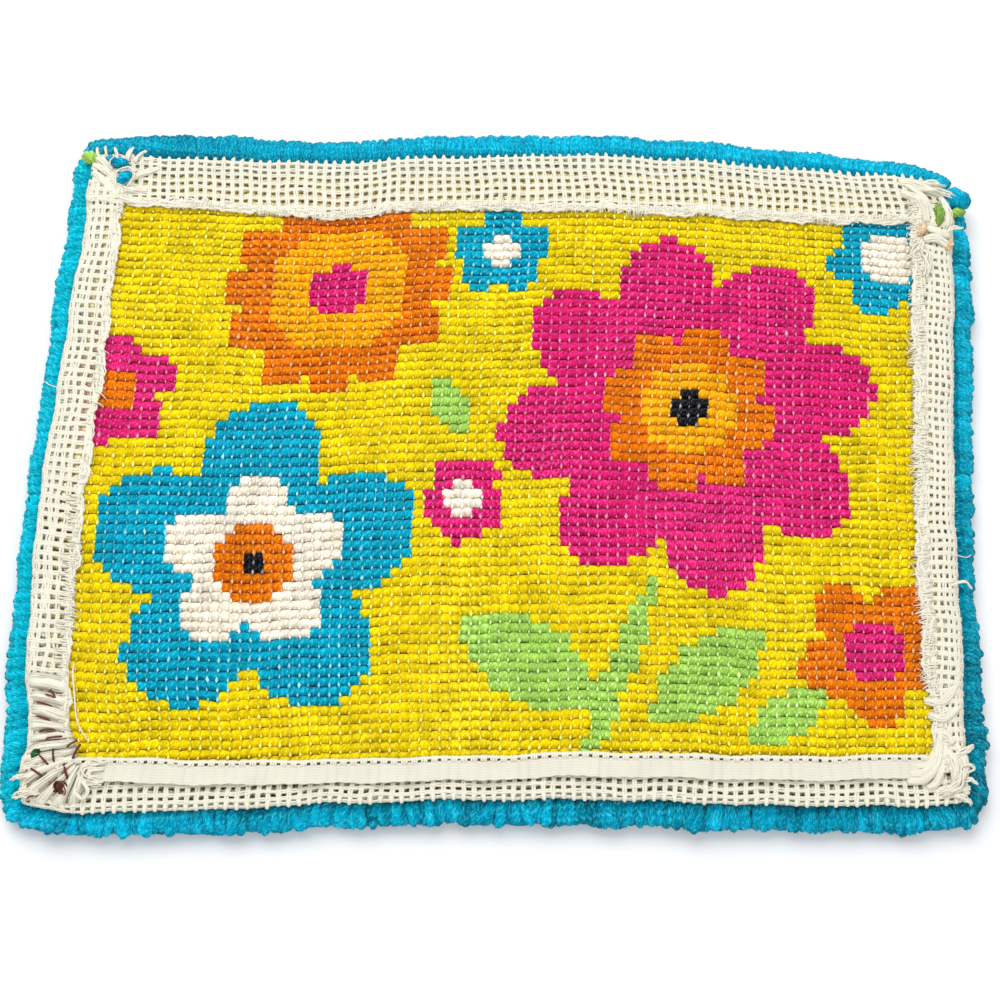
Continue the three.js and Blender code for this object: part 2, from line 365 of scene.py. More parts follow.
def addNode(tree, kind, settings=None, links=None):
    # A node with its settings (inputs by name or number, or its own properties) and its incoming links.
    node = tree.nodes.new(kind)
    for name, value in (settings or {}).items():
        if isinstance(name, int) or name in node.inputs:
            node.inputs[name].default_value = value
        else:
            setattr(node, name, value)
    for name, source in (links or {}).items():
        tree.links.new(source, node.inputs[name])
    return node


def ramp(tree, source, fromMin, fromMax, toMin, toMax):
    # A value taken evenly from one range to another and held at its ends.
    settings = {"From Min": fromMin, "From Max": fromMax, "To Min": toMin, "To Max": toMax}
    return addNode(tree, "ShaderNodeMapRange", settings, {"Value": source}).outputs["Result"]


def noise(tree, place, settings):
    # Cloudy values round 0.5 that change from place to place, as coarse as the scale says.
    return addNode(tree, "ShaderNodeTexNoise", settings, {"Vector": place}).outputs["Fac"]


def newMaterial(name):
    # An empty material, with its tree and the places on a piece that its patterns are laid out by.
    material = bpy.data.materials.new(name)
    material.use_nodes = True
    tree = material.node_tree
    tree.nodes.clear()
    return material, tree, addNode(tree, "ShaderNodeTexCoord").outputs


def finishMaterial(tree, settings, links):
    # The surface itself: gloss and sheen as plain values, colour and relief from the nodes before it.
    shader = addNode(tree, "ShaderNodeBsdfPrincipled", settings, links)
    addNode(tree, "ShaderNodeOutputMaterial", {}, {"Surface": shader.outputs["BSDF"]})


def acrylicYarn():
    # Spun acrylic rug yarn: dyed through, matt and woolly. The eye gets short slanting strands of fibre,
    # each catching the light or lying in shade, and slow changes of tone from the spinning and the dye
    # bath. The strands are drawn coarser than real ones, which would be too fine to show.
    settings = {"fibre": 0.95 * mm, "run": 2.6 * mm, "slant": 0.5, "bump": 1.1 * mm}
    material, tree, places = newMaterial("spun acrylic rug yarn")
    # the vertex colour: dye, with the painted shade and light of the parts
    colour = addNode(tree, "ShaderNodeAttribute", {"attribute_name": "dye"})
    lie = addNode(tree, "ShaderNodeMapping", {"Rotation": (0, 0, settings["slant"])},
                  {"Vector": places["UV"]})
    stretch = addNode(tree, "ShaderNodeMapping", {"Scale": (1 / settings["run"], 1 / settings["fibre"], 1)},
                      {"Vector": lie.outputs["Vector"]})
    shift = addNode(tree, "ShaderNodeVectorMath", {"operation": "SCALE", "Scale": 40.0},
                    {"Vector": places["Object"]})
    where = addNode(tree, "ShaderNodeVectorMath", {"operation": "ADD"},
                    {0: stretch.outputs["Vector"], 1: shift.outputs["Vector"]})
    fibre = noise(tree, where.outputs["Vector"], {"Scale": 1.0, "Detail": 3.0, "Roughness": 0.6})
    drift = noise(tree, places["Object"], {"Scale": 70.0, "Detail": 1.0})
    value = addNode(tree, "ShaderNodeMath", {"operation": "MULTIPLY"},
                    {0: ramp(tree, fibre, 0.38, 0.62, 0.8, 1.14),
                     1: ramp(tree, drift, 0.35, 0.65, 0.9, 1.08)})
    rich = addNode(tree, "ShaderNodeGamma", {},  # the dye is deeper where the fibres lie in shade
                   {"Color": colour.outputs["Color"], "Gamma": ramp(tree, fibre, 0.38, 0.62, 1.4, 0.8)})
    shaded = addNode(tree, "ShaderNodeVectorMath", {"operation": "SCALE"},
                     {"Vector": rich.outputs["Color"], "Scale": value.outputs["Value"]})
    # painted highlight: the lightest fibres mixed a little towards white, as glints
    lit = addNode(tree, "ShaderNodeMix", {"data_type": "RGBA", 7: (1, 1, 1, 1)},
                  {"Factor": ramp(tree, fibre, 0.54, 0.68, 0.0, 0.05), 6: shaded.outputs["Vector"]})
    bump = addNode(tree, "ShaderNodeBump", {"Strength": 1.0, "Distance": settings["bump"]},
                   {"Height": fibre})
    finishMaterial(tree, {"Roughness": 0.95, "Sheen Weight": 0.04, "Sheen Roughness": 0.5,
                          "Specular IOR Level": 0.03},
                   {"Base Color": lit.outputs[2], "Normal": bump.outputs["Normal"]})
    return material


def cottonCanvas():
    # Sized cotton rug canvas: off-white plied threads, matt, stiff and dry. The eye gets the twist of the
    # threads and faint dust and yellowing where they are knotted or handled.
    settings = {"twist": 0.9 * mm, "slant": 0.6, "bump": 0.2 * mm}
    material, tree, places = newMaterial("sized cotton canvas thread")
    # the vertex colour: canvas dye, with the painted shade of the pleats, tape grooves and slots
    colour = addNode(tree, "ShaderNodeAttribute", {"attribute_name": "dye"})
    dust = noise(tree, places["Object"], {"Scale": 60.0, "Detail": 3.0})
    fibre = noise(tree, places["Object"], {"Scale": 1100.0, "Detail": 1.0})
    shaded = addNode(tree, "ShaderNodeVectorMath", {"operation": "SCALE"},
                     {"Vector": colour.outputs["Color"], "Scale": ramp(tree, dust, 0.3, 0.7, 0.95, 1.0)})
    slant = addNode(tree, "ShaderNodeMapping",
                    {"Rotation": (0, 0, settings["slant"]), "Scale": (1 / settings["twist"],) * 3},
                    {"Vector": places["UV"]})
    twist = addNode(tree, "ShaderNodeTexWave", {"Scale": 0.5, "Distortion": 0.6},
                    {"Vector": slant.outputs["Vector"]})
    relief = addNode(tree, "ShaderNodeMath", {"operation": "MULTIPLY_ADD", 1: 0.5},
                     {0: fibre, 2: twist.outputs["Fac"]})
    bump = addNode(tree, "ShaderNodeBump", {"Strength": 0.5, "Distance": settings["bump"]},
                   {"Height": relief.outputs["Value"]})
    finishMaterial(tree, {"Roughness": 0.85, "Sheen Weight": 0.05, "Specular IOR Level": 0.1},
                   {"Base Color": shaded.outputs["Vector"], "Normal": bump.outputs["Normal"]})
    return material


yarn = acrylicYarn()
finishes = {  # node: material, slot
    "canvas": (cottonCanvas(), "rug_canvas"),
    "knot_backs": (yarn, "design_yarn"),
    "pile_field": (yarn, "design_yarn"),
    "pile_border": (yarn, "border_yarn"),
}


# The knotted design, in meshes from the near left corner, each row over the ones before it.
design = {
    "flowers": [  # middle x and y, radius, petals, how deep they are cut, turn, dye
        (66, 41, 20, 8, 0.34, 0.2, "magenta"), (66, 41, 9.5, 8, 0.3, 0.6, "orange"),
        (66, 41, 5, 1, 0, 0, "amber"), (66, 41, 1.7, 1, 0, 0, "ink"),
        (22, 25, 17, 5, 0.45, 0.3, "turquoise"), (22, 25, 9.5, 5, 0.45, 0.3, "cream"),
        (22, 25, 4, 1, 0, 0, "orange"), (22, 25, 1.4, 1, 0, 0, "ink"),
        (28, 55, 12.5, 12, 0.2, 0, "orange"), (28, 55, 7.5, 1, 0, 0, "amber"),
        (28, 55, 3.4, 5, 0.3, 0.3, "magenta"),
        (85, 16, 8, 5, 0.4, 1, "orange"), (85, 16, 3, 1, 0, 0, "magenta"),
        (45, 59, 5.4, 5, 0.32, 0.3, "turquoise"), (45, 59, 1.6, 1, 0, 0, "cream"),
        (6, 43, 6.5, 5, 0.35, 0.5, "magenta"), (6, 43, 2.4, 1, 0, 0, "orange"),
        (43, 31, 4.6, 5, 0.35, 0.9, "magenta"), (43, 31, 1.6, 1, 0, 0, "cream"),
        (87, 60, 7, 6, 0.3, 0.2, "turquoise"), (87, 60, 3, 1, 0, 0, "cream"),
    ],
    "leaves": [  # middle x and y, half length, half width, turn
        (50, 14, 9, 4.2, -0.6), (68, 13, 8, 3.6, 0.75), (59, 13, 12, 1.4, 1.2), (76, 9, 5, 2.2, 0.5),
        (41, 41, 4, 1.8, 2.2),
    ],
    "borderRows": 2,
}


def dyeGrid():
    # Every knot starts yellow. A flower takes the knots within radius (1 - depth + depth |cos(petals a /
    # 2)|^0.7), a leaf those within width (1 - (x / length)^2) of its midrib. Rows of border yarn run round
    # the edge.
    number = {name: place for place, name in enumerate(dyes)}
    x, y = np.meshgrid(np.arange(cloth["across"]) + 0.5, np.arange(cloth["along"]) + 0.5)
    grid = np.full(x.shape, number["yellow"])
    for middleX, middleY, radius, petals, depthShare, turn, colour in design["flowers"]:
        dx, dy = x - middleX, y - middleY
        swing = np.abs(np.cos(petals * (np.arctan2(dy, dx) - turn) / 2)) ** 0.7
        grid[np.hypot(dx, dy) < radius * (1 - depthShare + depthShare * swing)] = number[colour]
    for middleX, middleY, length, breadth, turn in design["leaves"]:
        dx, dy = x - middleX, y - middleY
        along = dx * math.cos(turn) + dy * math.sin(turn)
        off = dy * math.cos(turn) - dx * math.sin(turn)
        grid[np.abs(off) < breadth * (1 - (along / length) ** 2)] = number["leaf"]
    grid[fromEdges(x, y, cloth["across"], cloth["along"]) < design["borderRows"]] = number["border"]
    return grid


knotDye = dyeGrid()
dyeTable = np.array([dye[name] for name in dyes])


knots = {
    "height": 4.3 * mm,  # yarn standing over the canvas
    "hiddenHeight": 5.0 * mm,  # bunched up under the hems
    "foldHeight": 0.7,  # of the whole height beside a fold
    "foldRun": 5 * mm,  # and how far in from it that lasts
    "rowShare": 1.165,  # of the room between two rows: neighbours press into each other
    "fibreRun": 3.4 * mm,  # yarn in an arch, for each unit of the tables below
    "sections": [(-0.6, 0.83), (-0.25, 1.02), (0.25, 1.02), (0.6, 0.83)],  # across a knot: place, share
    "hiddenSections": [(-0.5, 0.8), (0.0, 1.0), (0.5, 0.8)],
    # From the far leg to the near one: out, up.
    "arch": [(1, 0), (0.84, 0.58), (0.42, 0.96), (-0.2, 1), (-0.7, 0.64), (-0.94, 0)],
    "hiddenArch": [(1, 0), (0.5, 0.9), (-0.5, 0.9), (-1, 0)],
    "unevenHeight": 0.055,
    "unevenLegs": 0.05,
    "unevenDye": 0.05,
    "lean": 0.1,  # sideways, for each metre along the knot
    "stray": 0.14 * mm,  # out of the row
    "flankShade": 0.62,  # painted shade low down between the rows, most on the near flank: its tone
    "flankShadeDepth": 0.3,  # and how much deeper the dye is drawn in that painted shade
    "rough": 0.15 * mm,
    "dull": 0.78,  # share of the pale lint colour mixed into the dye of the knots under the hems
    "hiddenLight": [1.15, 1.3],  # painted light on the shaded knots under the hems, less of it at a fold: there, and hiddenRun in from it
    "hiddenRun": 12 * mm,
    "seed": 11,
}


def knotPart(rows, columns, sections, arch, rng):
    # Each knot is an arch of yarn over a thread pair, carried across the mesh: v = row + half (0.55 + 0.45
    # share) out, h = low + height share up, each with its own unevenness. Painted shade: the dye is darker
    # and deeper low down, by 1.1 - up, most on the near flank.
    n, sectionCount, archCount = len(rows), len(sections), len(arch)
    hidden = sections is knots["hiddenSections"]
    place, share = np.array(sections).T
    archOut, archUp = np.array(arch).T
    shape = (n, sectionCount, archCount)
    legs = 1 + knots["unevenLegs"] * rng.standard_normal((n, sectionCount, 1))
    height = knots["hiddenHeight" if hidden else "height"] * legs * share[:, None]
    height = height * (1 + knots["unevenHeight"] * rng.standard_normal((n, 1, 1)))
    rowHalf = (rowLine(rows + 1) - rowLine(rows))[:, None, None] / 2 * knots["rowShare"]
    half = rowHalf * (0.55 + 0.45 * share)[None, :, None] * legs
    rough = knots["rough"] * rng.standard_normal((3,) + shape)
    lean = knots["lean"] * rng.standard_normal((n, 1, 1))
    offset = half * archOut
    u = (columns[:, None, None] + 0.5 + place[None, :, None]) * pitch + lean * offset + rough[0]
    middle = rowLine(rows[:, None, None] + 0.5) + knots["stray"] * rng.standard_normal((n, 1, 1))
    v = middle + offset + rough[1]
    fromFold = fromEdges(u, v, width, depth)
    height = height * np.interp(fromFold, [0, knots["foldRun"]], [knots["foldHeight"], 1])
    h = cloth["knotLow"] + height * archUp + rough[2] * (archUp > 0)
    rings = clothMap(u, v, h)
    around = np.cumsum(np.hypot(np.diff(archOut, prepend=1, append=1), np.diff(archUp, prepend=0, append=0)))
    tint = dyeTable[knotDye[rows, columns]][:, None, None]
    tint = tint * (1 + knots["unevenDye"] * rng.standard_normal((n, 1, 1, 1)))
    tint = tint * (1 + knots["unevenDye"] * rng.standard_normal((n, sectionCount, 1, 1)))
    # painted shade: darker and richer low on the arch, most on the near flank, which is turned from the
    # light
    low = np.clip(1.1 - archUp, 0, 1) * np.where(archOut < 0, 1, 0.45)
    tint = tint ** (1 + knots["flankShadeDepth"] * low)[:, None] * (1 - (1 - knots["flankShade"]) * low)[:, None]
    if hidden:
        tint = tint * (1 - knots["dull"]) + dye["lint"] * knots["dull"]
        # painted light on the knots in the shade under the hems, less at a fold
        tint = tint * np.interp(fromFold, [0, knots["hiddenRun"]], knots["hiddenLight"])[..., None]
    tint = tint.reshape(n, -1, 3)
    tint = np.concatenate([tint, tint[:, 1:2], tint[:, 1:2]], 1)
    return bodyPart(rings, endMiddles(rings), place[None] * pitch, around[None] * knots["fibreRun"], tint,
                    fibreRound=True, roundEnds=False)


def hemCover(row, column, margin):
    # True where a hem lies over the knot: nearer an edge than its hem is wide, by more than margin.
    u, v = (column + 0.5) * pitch, rowLine(row + 0.5)
    s, t = u / width, v / depth
    under = v < edgeAt("near", "hem", s) - margin
    under |= depth - v < edgeAt("far", "hem", s) - margin
    under |= u < edgeAt("left", "hem", t) - margin
    under |= width - u < edgeAt("right", "hem", t) - margin
    return under


rowOf, columnOf = np.divmod(np.arange(knotDye.size), cloth["across"])
hiddenKnot = hemCover(rowOf, columnOf, 0.3 * pitch)
rng = np.random.default_rng(knots["seed"])
halfWay = cloth["along"] // 2
shown = {"knotBacksNear": ~hiddenKnot & (rowOf < halfWay), "knotBacksFar": ~hiddenKnot & (rowOf >= halfWay)}
for name, pick in shown.items():
    part = knotPart(rowOf[pick], columnOf[pick], knots["sections"], knots["arch"], rng)
    makePiece(name, part, "knot_backs")
part = knotPart(rowOf[hiddenKnot], columnOf[hiddenKnot], knots["hiddenSections"], knots["hiddenArch"], rng)
makePiece("knotBacksUnderHems", part, "knot_backs")


canvas = {
    # Threads that run with the fold, in mm, and how far each is from the middle of its pair.
    "alongRadius": {"far": 0.8, "near": 0.82, "left": 0.98, "right": 0.8},
    "alongGap": {"far": 0.62, "near": 0.62, "left": 0.76, "right": 0.54},
    "acrossRadius": 0.98 * mm,
    "acrossGap": 0.8 * mm,
    "weave": 0.3 * mm,  # up and down of a thread over the one it crosses
    "sides": 4,
    "underFold": 8 * mm,  # threads carried on under the canvas from a fold
    # From a fold's outermost point in and up to the flat hem, then in and down to the threads underneath.
    "foldReach": {"far": 3.3 * mm, "near": 3.3 * mm, "left": 9.5 * mm, "right": 9.5 * mm},
    "foldDrop": {"far": 3.3 * mm, "near": 3.3 * mm, "left": 6.4 * mm, "right": 6.4 * mm},
    "underReach": 3.3 * mm,
    "underLevel": 0.6 * mm,  # below the canvas's middle
    "overlap": 1.9 * mm,  # a side hem over the far and near ones
    "thick": {"far": 1.0, "near": 1.0, "left": 1.15, "right": 1.34},  # crossing threads drawn closer
    "knuckle": {  # how far out past the fold, how blunt, and from where along it, clear of the gathers
        "far": {"out": 1.7 * mm, "blunt": 0.6, "from": 30 * mm},
        "near": {"out": 1.5 * mm, "blunt": 1.25, "from": 43 * mm},
    },
    "seed": 5,
}

# Each hem from its fold in. Pair k along it lies first + step k + growth k^2 mm in, along the cloth. stray:
# how far a thread strays. short: the crossing threads' ends from the cut edge, and ends: how uneven they
# are. rim and threads: depth of the loosened edge, and its threads. frays: short ends for each mesh, the
# longest of them, and how far astray they bend. fringe: a stretch where finer ones stand close together.
hems = {
    "far": {
        "first": 4.2, "step": 4.6, "growth": 0.2, "pairs": 7, "stray": 0.2 * mm,
        "short": 0.0, "ends": 1.6 * mm,
        "rim": 5.4 * mm, "threads": 7, "frays": 6, "longest": 3 * mm, "astray": 0.2,
    },
    "near": {
        "first": 1.5, "step": 3.7, "growth": 0.45, "pairs": 4, "stray": 0.2 * mm,
        "short": 13 * mm, "ends": 0.0,
    },
    "left": {
        "first": 2.2, "step": 3.4, "growth": 0.37, "pairs": 5, "stray": 0.3 * mm,
        "short": 0.0, "ends": 1.0 * mm,
        "rim": 4.4 * mm, "threads": 6, "frays": 1.6, "longest": 5 * mm, "astray": 0.35,
        "fringe": {
            "from": 48 * mm, "to": 215 * mm, "rim": 10 * mm, "frays": 7, "longest": 1.5 * mm, "astray": 0.1,
        },
    },
    "right": {
        "first": 2.2, "step": 3.3, "growth": 0.16, "pairs": 6, "stray": 0.2 * mm,
        "short": 0.0, "ends": 1.6 * mm,
        "rim": 8 * mm, "threads": 8, "frays": 9, "longest": 5 * mm, "astray": 0.35,
    },
}


def foldCurve(side):
    # The hem's section in from its fold: a quarter ellipse from the outermost point up to the hem's level,
    # then flat. Below, a quarter ellipse back under to the ground. Distance is along the cloth, 0 at the
    # outermost.
    reach, drop = canvas["foldReach"][side], canvas["foldDrop"][side]
    ground = cloth["groundLevel"] - canvas["underLevel"]
    a = np.linspace(0, np.pi / 2, 24)
    outer = cloth["hemLevel"] - drop
    upper = np.stack([reach * (1 - np.cos(a)), outer + drop * np.sin(a)], -1)
    lower = np.stack([canvas["underReach"] * (1 - np.cos(a)), outer - (outer - ground) * np.sin(a)], -1)
    curve = np.concatenate([[[0.05, ground]], lower[:0:-1], upper, [[0.08, cloth["hemLevel"]]]])
    distance = runAlong(curve)
    return distance - distance[len(lower)], curve[:, 0], curve[:, 1]


foldCurves = {side: foldCurve(side) for side in edges}


def sidePlace(side, along, inset, level):
    # A point given by its distance along an edge, its distance in from the edge's fold, and its level.
    if side == "far":
        return clothMap(along, depth - inset, level)
    if side == "near":
        return clothMap(along, inset, level)
    if side == "left":
        return clothMap(inset, along, level)
    return clothMap(width - inset, along, level)


def hemPlace(side, along, distance, rise=0.0):
    # A point on a hem: distance is measured along the cloth from the fold's outermost point, rise off its
    # face.
    table, insets, levels = foldCurves[side]
    near, far = distance - 0.2 * mm, distance + 0.2 * mm
    run = np.interp(far, table, insets) - np.interp(near, table, insets)
    climb = np.interp(far, table, levels) - np.interp(near, table, levels)
    size = np.hypot(run, climb) + 1e-12
    inset = np.interp(distance, table, insets) - rise * climb / size
    return sidePlace(side, along, inset, np.interp(distance, table, levels) + rise * run / size)


def hemLength(side, at):
    # Width of the hem along its cloth: the width seen from above, plus what the fold's curve takes up.
    table, insets, _ = foldCurves[side]
    upper = table >= 0
    return np.interp(edgeAt(side, "hem", at), insets[upper], table[upper])


def sideLength(side):
    # How long an edge is: the canvas's width for the far and near ones, its depth for the others.
    return width if side in ("far", "near") else depth


def sideMeshes(side):
    # The same in meshes.
    return cloth["across"] if side in ("far", "near") else cloth["along"]


def overHem(side, along):
    # A side hem climbs over the far and near hems: overlap * (3t^2 - 2t^3), from 4 mm before their cut edge
    # to 4 mm past it.
    if side in ("far", "near"):
        return np.zeros_like(along)
    at = 0.02 if side == "left" else 0.98
    start, end = edgeAt("near", "hem", at), depth - edgeAt("far", "hem", at)
    t = np.clip(np.maximum(start - along, along - end) / (8 * mm) + 0.5, 0, 1)
    return canvas["overlap"] * t * t * (3 - 2 * t)


def wander(count, samples, reach, rng):
    # Slow random lines: white noise smoothed over reach samples, one row for each line.
    noise = rng.standard_normal((count, samples + 2 * reach))
    window = np.hanning(2 * reach + 1)
    window /= np.sqrt((window ** 2).sum())
    return np.stack([np.convolve(row, window, "valid")[:samples] for row in noise])


def threadPart(paths, radius, sides=canvas["sides"]):
    # Rounds of canvas thread along the paths.
    return tubePart(paths, radius, sides, dye["canvas"])


def pairDistance(side, k):
    # First + step k + growth k^2, in mm along the cloth from the fold.
    return (hems[side]["first"] + hems[side]["step"] * k + hems[side]["growth"] * k * k) * mm


def alongPart(side, start, end, rng):
    # Thread pairs that run along a fold. Each rises over the pairs it crosses as
    # weave * cos(pi (along / pitch - 0.5) + pi k), and strays in and out slowly.
    length, stray = sideLength(side), hems[side]["stray"]
    rows = np.arange(hems[side]["pairs"], dtype=float)[:, None]
    samples = int(round((end - start) / pitch * 2)) + 1
    run = np.linspace(start, end, samples)[None] + 0 * rows
    slow = 2.2 * stray * wander(len(rows), samples, 6, rng)
    paths = []
    for offset in (-canvas["alongGap"][side] * mm, canvas["alongGap"][side] * mm):
        line = pairDistance(side, rows) + offset + slow + stray * rng.standard_normal(run.shape)
        line = np.minimum(line, hemLength(side, run / length) - 2 * mm)
        rise = canvas["weave"] * np.cos(np.pi * (run / pitch - 0.5) + np.pi * rows)
        paths.append(hemPlace(side, run, line, rise + overHem(side, run)))
    radius = canvas["alongRadius"][side] * mm * (1 + 0.12 * rng.standard_normal((2 * len(rows), samples)))
    return threadPart(np.concatenate(paths), radius)


def acrossPart(side, columns, rng):
    # Thread pairs that cross a hem: up from under the canvas, round the fold and in to the cut edge or
    # short of it, under and over the pairs along it, with each thread's own end.
    samples = 2 * hems[side]["pairs"] + 8
    columns = columns[:, None]
    t = np.linspace(0, 1, samples)[None]
    hem = hemLength(side, columns * pitch / sideLength(side))
    slow = hems[side]["stray"] * wander(len(columns), samples, 3, rng)
    paths = []
    for offset in (-canvas["acrossGap"], canvas["acrossGap"]):
        line = columns * pitch + offset + slow + 0.5 * hems[side]["stray"] * rng.standard_normal(slow.shape)
        last = hem - hems[side]["short"] + hems[side]["ends"] * rng.uniform(-1, 1, (len(columns), 1))
        run = -canvas["underFold"] + (last + canvas["underFold"]) * t
        row = (run / mm - hems[side]["first"]) / hems[side]["step"]
        rise = -canvas["weave"] * np.cos(np.pi * row + np.pi * np.floor(columns))
        paths.append(hemPlace(side, line, run, np.where(run > 0, rise, 0) + overHem(side, line)))
    radius = canvas["acrossRadius"] * canvas["thick"][side]
    radius = radius * (1 + 0.1 * rng.standard_normal((2 * len(columns), samples)))
    return threadPart(np.concatenate(paths), radius)


loosened = {  # a cut edge's last threads, and the frays over them
    "sample": 2.6 * mm,
    "shared": 0.9 * mm,  # how far the threads stray together
    "scallop": 0.45 * mm,  # in and out, once a mesh
    "own": 0.7 * mm,  # and each by itself
    "rise": 0.5 * mm,
    "bow": 0.4 * mm,  # more in the middle of the rim
    "unevenRise": 0.3 * mm,
    "radius": 0.85 * mm,
    "thin": 0.4 * mm,
    "thick": 1.5 * mm,
    "sheet": (0.75 * mm, -0.3 * mm),  # the matted fibre between them: top and bottom
    "frayRadius": 0.55 * mm,
    "frayRise": 1.5 * mm,
    "frayBow": 0.6 * mm,
    "frayDrop": 2.2 * mm,
    "frayUneven": 0.2 * mm,
}


def rimPart(side, start, end, rng):
    # The cut edge's last threads, worked loose and matted: each strays in and out by slow scallops, shared
    # and its own.
    count, rim = hems[side]["threads"], hems[side]["rim"]
    samples = int((end - start) / loosened["sample"])
    run = np.linspace(start, end, samples)[None] * np.ones((count, 1))
    hem = hemLength(side, run / sideLength(side))
    shared = loosened["shared"] * wander(1, samples, 6, rng)
    shared = shared + loosened["scallop"] * np.cos(2 * np.pi * (run / pitch - 0.5))
    own = loosened["own"] * wander(count, samples, 2, rng)
    spread = np.linspace(1, 0, count)[:, None]
    line = hem - rim * spread + 0.4 * mm + shared * (1.2 - spread) + own
    rise = loosened["rise"] + loosened["bow"] * np.sin(np.pi * spread)
    rise = rise + loosened["unevenRise"] * wander(count, samples, 2, rng)
    radius = loosened["radius"] * (1 + 0.25 * wander(count, samples, 2, rng))
    radius = np.clip(radius, loosened["thin"], loosened["thick"])
    threads = threadPart(hemPlace(side, run, line, rise + overHem(side, run)), radius)
    edge = line[-1] - 0.6 * mm + 0.5 * mm * wander(1, samples, 1, rng)[0]
    across = edge[:, None] - rim * 0.8 * np.linspace(0, 1, 5)
    level = (overHem(side, run[0]) + 0.2 * mm * wander(1, samples, 2, rng)[0])[:, None] + 0 * across
    place = run[0][:, None] + 0 * across
    upper, lower = (hemPlace(side, place, across, level + over) for over in loosened["sheet"])
    grids = (upper, lower) if side in ("near", "right") else (lower, upper)
    return joinParts([threads, slabPart(*grids, dye["canvas"])])


def frayPart(side, start, end, settings, rng):
    # Short cut ends of the threads that crossed the hem, lying over the rim and out over the knots:
    # straight out to a length of their own, bent sideways as t^2 and dropping onto the knots as t^3. They
    # stand in clumps.
    count = int((end - start) / pitch * settings["frays"])
    t = np.linspace(0, 1, 5)[None]
    along = np.sort(rng.uniform(start, end, count))[:, None]
    hem = hemLength(side, along / sideLength(side))
    clump = np.interp(along, np.linspace(start, end, 60), rng.standard_normal(60))
    clump = np.clip(0.8 + 0.7 * clump, 0.1, 2)
    reach = settings["longest"] * clump * rng.uniform(0.1, 0.75, (count, 1))
    back = settings["rim"] * rng.uniform(0.3, 1.15, (count, 1))
    line = hem - back + (back + reach) * t
    aside = (back + reach) * rng.standard_normal((count, 1)) * settings["astray"] * t ** 2
    rise = loosened["frayRise"] + loosened["frayBow"] * np.sin(np.pi * t) - loosened["frayDrop"] * t ** 3
    rise = rise + loosened["frayUneven"] * rng.standard_normal((count, 5))
    radius = loosened["frayRadius"] * rng.uniform(0.5, 1.4, (count, 1)) * (1 - 0.45 * t)
    return threadPart(hemPlace(side, along + aside, line, rise + overHem(side, along)), radius)


def knucklePart(side, columns, rng):
    # Each pair of crossing threads stands out at a tight fold as a blunt lump: from inside the fold, out
    # past it.
    t = np.linspace(0, 1, 4)[None]
    out, blunt = canvas["knuckle"][side]["out"], canvas["knuckle"][side]["blunt"]
    across = columns[:, None] * pitch + 0.4 * mm * rng.standard_normal((len(columns), 1)) * t
    out = out * np.clip(1 + 0.25 * rng.standard_normal((len(columns), 1)), 0.3, 1.5)
    inset = 2.4 * mm - (2.4 * mm + out) * t
    level = cloth["hemLevel"] - 0.3 * mm - 1.1 * mm * t ** 2 + overHem(side, across)
    radius = np.array([1.4, 1.65, 0.9 + 0.6 * blunt, blunt]) * mm
    return threadPart(sidePlace(side, across, inset, level), radius, sides=6)


def hemPart(side, rng):
    # One hem: its pairs along and across the fold, and at a cut edge the loosened rim and its frays.
    columns = np.arange(sideMeshes(side)) + 0.5
    if side in ("left", "right"):
        columns = columns[(columns * pitch > 20 * mm) & (columns * pitch < depth - 20 * mm)]
    start, end = columns[0] * pitch - 3 * mm, columns[-1] * pitch + 3 * mm
    parts = [alongPart(side, start, end, rng), acrossPart(side, columns, rng)]
    if side in canvas["knuckle"]:
        parts += [knucklePart(side, columns[columns * pitch > canvas["knuckle"][side]["from"]], rng)]
    if side != "near":
        parts += [rimPart(side, start, end, rng), frayPart(side, start, end, hems[side], rng)]
    if "fringe" in hems[side]:
        fringe = hems[side]["fringe"]
        parts += [frayPart(side, fringe["from"], fringe["to"], fringe, rng)]
    return joinParts(parts)


def groundPart():
    # The canvas under the knots: a thin closed sheet between the folds.
    inset = 1.5 * mm
    across, along = np.linspace(inset, width - inset, 48), np.linspace(inset, depth - inset, 37)
    u, v = np.meshgrid(across, along, indexing="ij")
    level = cloth["groundLevel"]
    return slabPart(clothMap(u, v, level - 0.7 * mm), clothMap(u, v, level + 0.5 * mm), dye["canvas"])


tape = {
    "from": 38 * mm,  # in from the left edge
    "to": 27 * mm,  # and from the right one
    "width": 16.3 * mm,
    "gap": 3.1 * mm,  # from the turned edge in to the woven band, where the last meshes show as slots
    "thick": 0.9 * mm,
    "ribs": 7,
    "ribDepth": 0.42 * mm,
    "tone": 0.94,  # its close weave, a little greyer than the open canvas; the grooves and creases get painted shade
    "over": 1.9 * mm,  # its middle over the hem's
    "lift": 1.3 * mm,  # of its free edge
    "ripples": [(61, 1, 0.7), (23, 0, 0.5)],  # of that lift: length in mm, start, height
    "bends": [(37, 3, 0.45 * mm), (9, 0, 0.25 * mm)],  # of its line
    "crease": 0.5 * mm,  # at each mesh
    "ribShade": 0.25,  # darker by this for each mm of a groove
    "creaseShade": 0.16,
}


def sines(u, rows):
    # The sum of height * sin(2 pi u / length + start).
    return sum(height * np.sin(2 * np.pi * u / (length * mm) + start) for length, start, height in rows)


